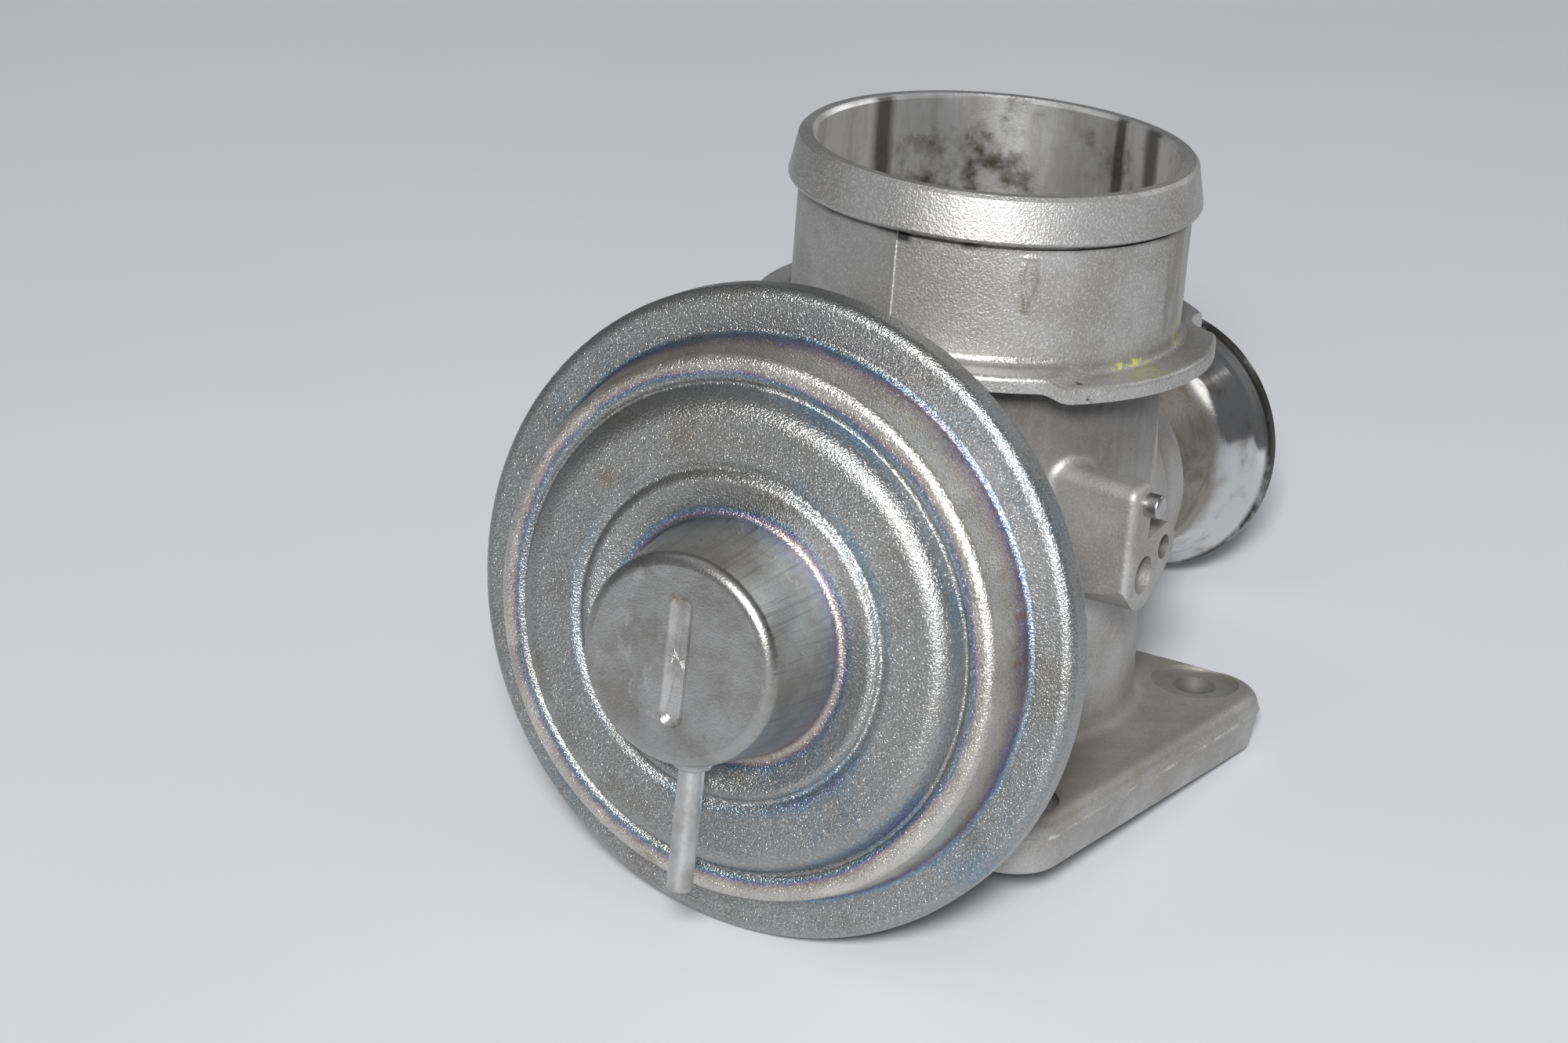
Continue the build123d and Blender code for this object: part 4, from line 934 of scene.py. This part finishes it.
def neck_scar():
    """Two low ridges that waver past each other between short bars, fading out at the patch's border.

    The radius is the neck's plus the sum of four bells in u, up the neck, and v, across the patch.
    """
    u = np.linspace(0, 1, 120)[:, None]
    v = np.linspace(-1, 1, 56)[None]
    left = bell(v, 0.20 * np.sin(6.5 * u + 0.6) - 0.30, 0.17) * (0.45 + 0.55 * np.sin(5 * u + 0.8) ** 2)
    right = bell(v, 0.22 - 0.16 * np.sin(8.3 * u), 0.20) * (0.25 + 0.75 * np.sin(4 * u + 2.2) ** 2)
    bar = bell(u + 0.03 * v, 0.93, 0.030) * np.clip(0.7 - v ** 2, 0, 1)
    foot = bell(u, 0.07, 0.035) * np.clip(0.5 - (v - 0.25) ** 2, 0, 1)
    inner = np.clip((0.5 - np.abs(u - 0.5)) / 0.07, 0, 1) * np.clip((1 - np.abs(v)) / 0.25, 0, 1)
    ridges = np.clip(left + 0.8 * right + 0.7 * bar + 0.6 * foot, 0, 1.2)
    radius = NECK_RADIUS + 0.00001 + SCAR_HEIGHT * ridges * inner - SCAR_SINK * (1 - inner)
    angle = SCAR_ANGLE + v * SCAR_HALF_WIDTH / NECK_RADIUS
    z = SCAR_BOTTOM + (SCAR_TOP - SCAR_BOTTOM) * u + 0 * v
    return np.stack([radius * np.cos(angle), radius * np.sin(angle), z], axis=-1)


seam = grid_object("neck_seam", neck_seam())
scar = grid_object("neck_scar", neck_scar())
for piece in (flash, seam, scar):
    piece.data.materials.append(finishes["cast_aluminium"])
    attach(piece, "valve_body")

# %% [markdown]
# The return spring is squeezed each time the stem lifts, so it can't be one rigid body. Here it is a helix
# made as a tube: a circle of wire carried along the coil.

# %% Points round the common axis
def round_axis(radius, angle, out):
    """Points in metres from millimetres off the axis and along it, and an angle round it.

    A point is the axis point, plus radius times (cosine across, sine up), plus out along the axis.
    """
    across = np.multiply.outer(radius * np.cos(angle), (1.0, 0.0, 0.0))
    upward = np.multiply.outer(radius * np.sin(angle), tuple(AXIS_UP))
    along = np.multiply.outer(out + 0 * radius * angle, tuple(AXIS_OUT))
    return (across + upward + along) / 1000 + np.array(AXIS_POINT)


# %% Return spring
SPRING_TURNS = 4.5
SPRING_MEAN_RADIUS = 11.0
SPRING_WIRE_RADIUS = 1.0
SPRING_FOOT = -3.15
SPRING_HEAD = 29.15


def coil_wire(rows=360, sides=16):
    """Round the helix, wire radius times (cosine outward, sine along the axis, leant by the helix's slope).

    The first and last rows shrink to the wire's centre, which closes its two cut ends.
    """
    u = np.clip(np.arange(-1, rows + 2) / rows, 0, 1)[:, None]
    wire = SPRING_WIRE_RADIUS * np.ones_like(u)
    wire[[0, -1]] = 0
    side = np.linspace(0, -2 * np.pi, sides, endpoint=False)[None]
    slope = math.atan2(SPRING_HEAD - SPRING_FOOT, 2 * math.pi * SPRING_MEAN_RADIUS * SPRING_TURNS)
    radius = SPRING_MEAN_RADIUS + wire * np.cos(side)
    rise = wire * np.sin(side)
    angle = 2 * np.pi * SPRING_TURNS * u - rise * math.sin(slope) / SPRING_MEAN_RADIUS
    out = SPRING_FOOT + (SPRING_HEAD - SPRING_FOOT) * u + rise * math.cos(slope)
    return round_axis(radius, angle, out)


def weld(piece):
    """Joins points that share a place, so that a pole is one point."""
    shape = bmesh.new()
    shape.from_mesh(piece.data)
    bmesh.ops.remove_doubles(shape, verts=shape.verts, dist=1e-7)
    shape.to_mesh(piece.data)
    shape.free()


spring = grid_object("coil_spring", coil_wire(), ring=True)
weld(spring)
spring.data.materials.append(finishes["spring_steel"])
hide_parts("return_spring")
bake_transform(spring)

# %% [markdown]
# The diaphragm is a disc of rubber with a rolled loop near its rim. Its middle is clamped to the piston and
# its bead is clamped under the crimp, so the loop's inner wall does all the moving. The profile is drawn
# once and turned round the axis. It is split at the loop's crown, because the inner wall shortens as the
# stem lifts while the outer wall, at the same height, stands still.

# %% Profile of the diaphragm
RUBBER = 1.2
HUB_RADIUS = 2.55
INNER_WALL = 32.5
LOOP_MIDDLE = 36.4
OUTER_WALL = 40.3
RIM_RADIUS = 48.5
DISC_BACK = -7.4
CROWN_FOOT = 5.3
RIM_BACK = 0.4
DIAPHRAGM_ROUTE = (
    (HUB_RADIUS, DISC_BACK), (INNER_WALL, DISC_BACK), (INNER_WALL, CROWN_FOOT),
    (OUTER_WALL, CROWN_FOOT), (OUTER_WALL, RIM_BACK), (RIM_RADIUS, RIM_BACK),
)
DIAPHRAGM_BENDS = (3.4, 3.2, 3.2, 1.4)
BEND_POINTS = 14


def bent_line(route, bends, offset):
    """A line through the route whose corners are arcs, moved offset to its left.

    At a corner the arc's centre is inward by the bend's radius, and the moved arc keeps that centre.
    """
    route = np.array(route)
    way = np.diff(route, axis=0)
    way /= np.linalg.norm(way, axis=1, keepdims=True)
    left = np.stack([-way[:, 1], way[:, 0]], axis=1)
    turn_sign = np.sign(way[:-1, 0] * way[1:, 1] - way[:-1, 1] * way[1:, 0])[:, None]
    bend = np.array(bends)[:, None]
    centre = route[1:-1] + bend * (way[1:] - way[:-1])
    fan = np.linspace(0, np.pi / 2, BEND_POINTS)[None, :, None]
    spoke = np.cos(fan) * left[:-1, None] + np.sin(fan) * left[1:, None]
    arcs = centre[:, None] - turn_sign[:, None] * spoke * (bend - turn_sign * offset)[:, None]
    ends = route[[0, -1]] + offset * left[[0, -1]]
    return np.concatenate([ends[:1], arcs.reshape(-1, 2), ends[1:]])


# %% Skins of the diaphragm
BEAD_RADIUS = 44.8
BEAD_TOP = 2.8
BEAD_CHAMFER = 0.3
DISC_STEPS = 12


def diaphragm_skin(inner, sides=240):
    """The profile's lower and upper lines joined into a loop, cut at the crown, and turned round the axis."""
    lower = bent_line(DIAPHRAGM_ROUTE, DIAPHRAGM_BENDS, 0.0)
    upper = bent_line(DIAPHRAGM_ROUTE, DIAPHRAGM_BENDS, RUBBER)
    crown = np.array([[LOOP_MIDDLE, CROWN_FOOT]])
    crown_top = crown + (0, RUBBER)
    split = 1 + 2 * BEND_POINTS
    if inner:
        disc = np.linspace(lower[0], lower[1], DISC_STEPS, endpoint=False)
        lower = np.concatenate([disc, lower[1:split], crown])
        upper = np.concatenate([upper[:split], crown_top])
    else:
        edge, level = upper[-1]
        bead = np.array([
            (BEAD_RADIUS, level),
            (BEAD_RADIUS, BEAD_TOP - BEAD_CHAMFER),
            (BEAD_RADIUS + BEAD_CHAMFER, BEAD_TOP),
            (edge - BEAD_CHAMFER, BEAD_TOP),
            (edge, BEAD_TOP - BEAD_CHAMFER),
        ])
        lower = np.concatenate([crown, lower[split:]])
        upper = np.concatenate([crown_top, upper[split:-1], bead])
    profile = np.concatenate([lower, upper[::-1]])
    turned = np.linspace(0, 2 * np.pi, sides, endpoint=False)[None]
    return round_axis(profile[:, :1], turned, profile[:, 1:])


loop_inner = grid_object("diaphragm_centre", diaphragm_skin(inner=True), ring=True, loop=True)
loop_outer = grid_object("diaphragm_rim", diaphragm_skin(inner=False), ring=True, loop=True)
for piece in (loop_inner, loop_outer):
    piece.data.materials.append(finishes["diaphragm_rubber"])
    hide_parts("diaphragm")
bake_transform(loop_inner)
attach(loop_outer, "valve_body")

# %% [markdown]
# Now each CAD node takes its finish. A node's mesh isn't touched: only its material changes.

# %% Dress the CAD nodes
DRESS = {
    "valve_housing": "cast_aluminium",
    "diaphragm_cover": "cover_zinc",
    "rear_cup": "cup_zinc",
    "vacuum_nipple": "nipple_steel",
    "diaphragm": "diaphragm_rubber",
    "return_spring": "spring_steel",
    "seat_ring": "seat_steel",
    "valve_poppet": "seat_steel",
    "pipe_seal": "packed_graphite",
    "stem_seal": "packed_graphite",
    "inlet_pipe": "polished_pipe",
    "guide_bush": "guide_bronze",
    "scraper_ring": "guide_bronze",
    "heat_gasket": "gasket_fibre",
    "mounting_screws": "screw_steel",
    "poppet_nut": "screw_steel",
    "stem_nut": "screw_steel",
    "base_o_ring": "seal_rubber",
    "pad_pin": "pin_steel",
    "valve_stem": "stem_steel",
    "piston_cup": "plate_steel",
    "rear_plate": "plate_steel",
    "spring_seat": "plate_steel",
}
for node_name, finish_name in DRESS.items():
    node = nodes[node_name]
    for index in range(max(1, len(node.material_slots))):
        if len(node.material_slots) <= index:
            node.data.materials.append(None)
        node.material_slots[index].material = finishes[finish_name]
print("dressed", len(DRESS), "of", len(nodes), "nodes")

# %% [markdown]
# The visual model has to stay inside the CAD model's box.
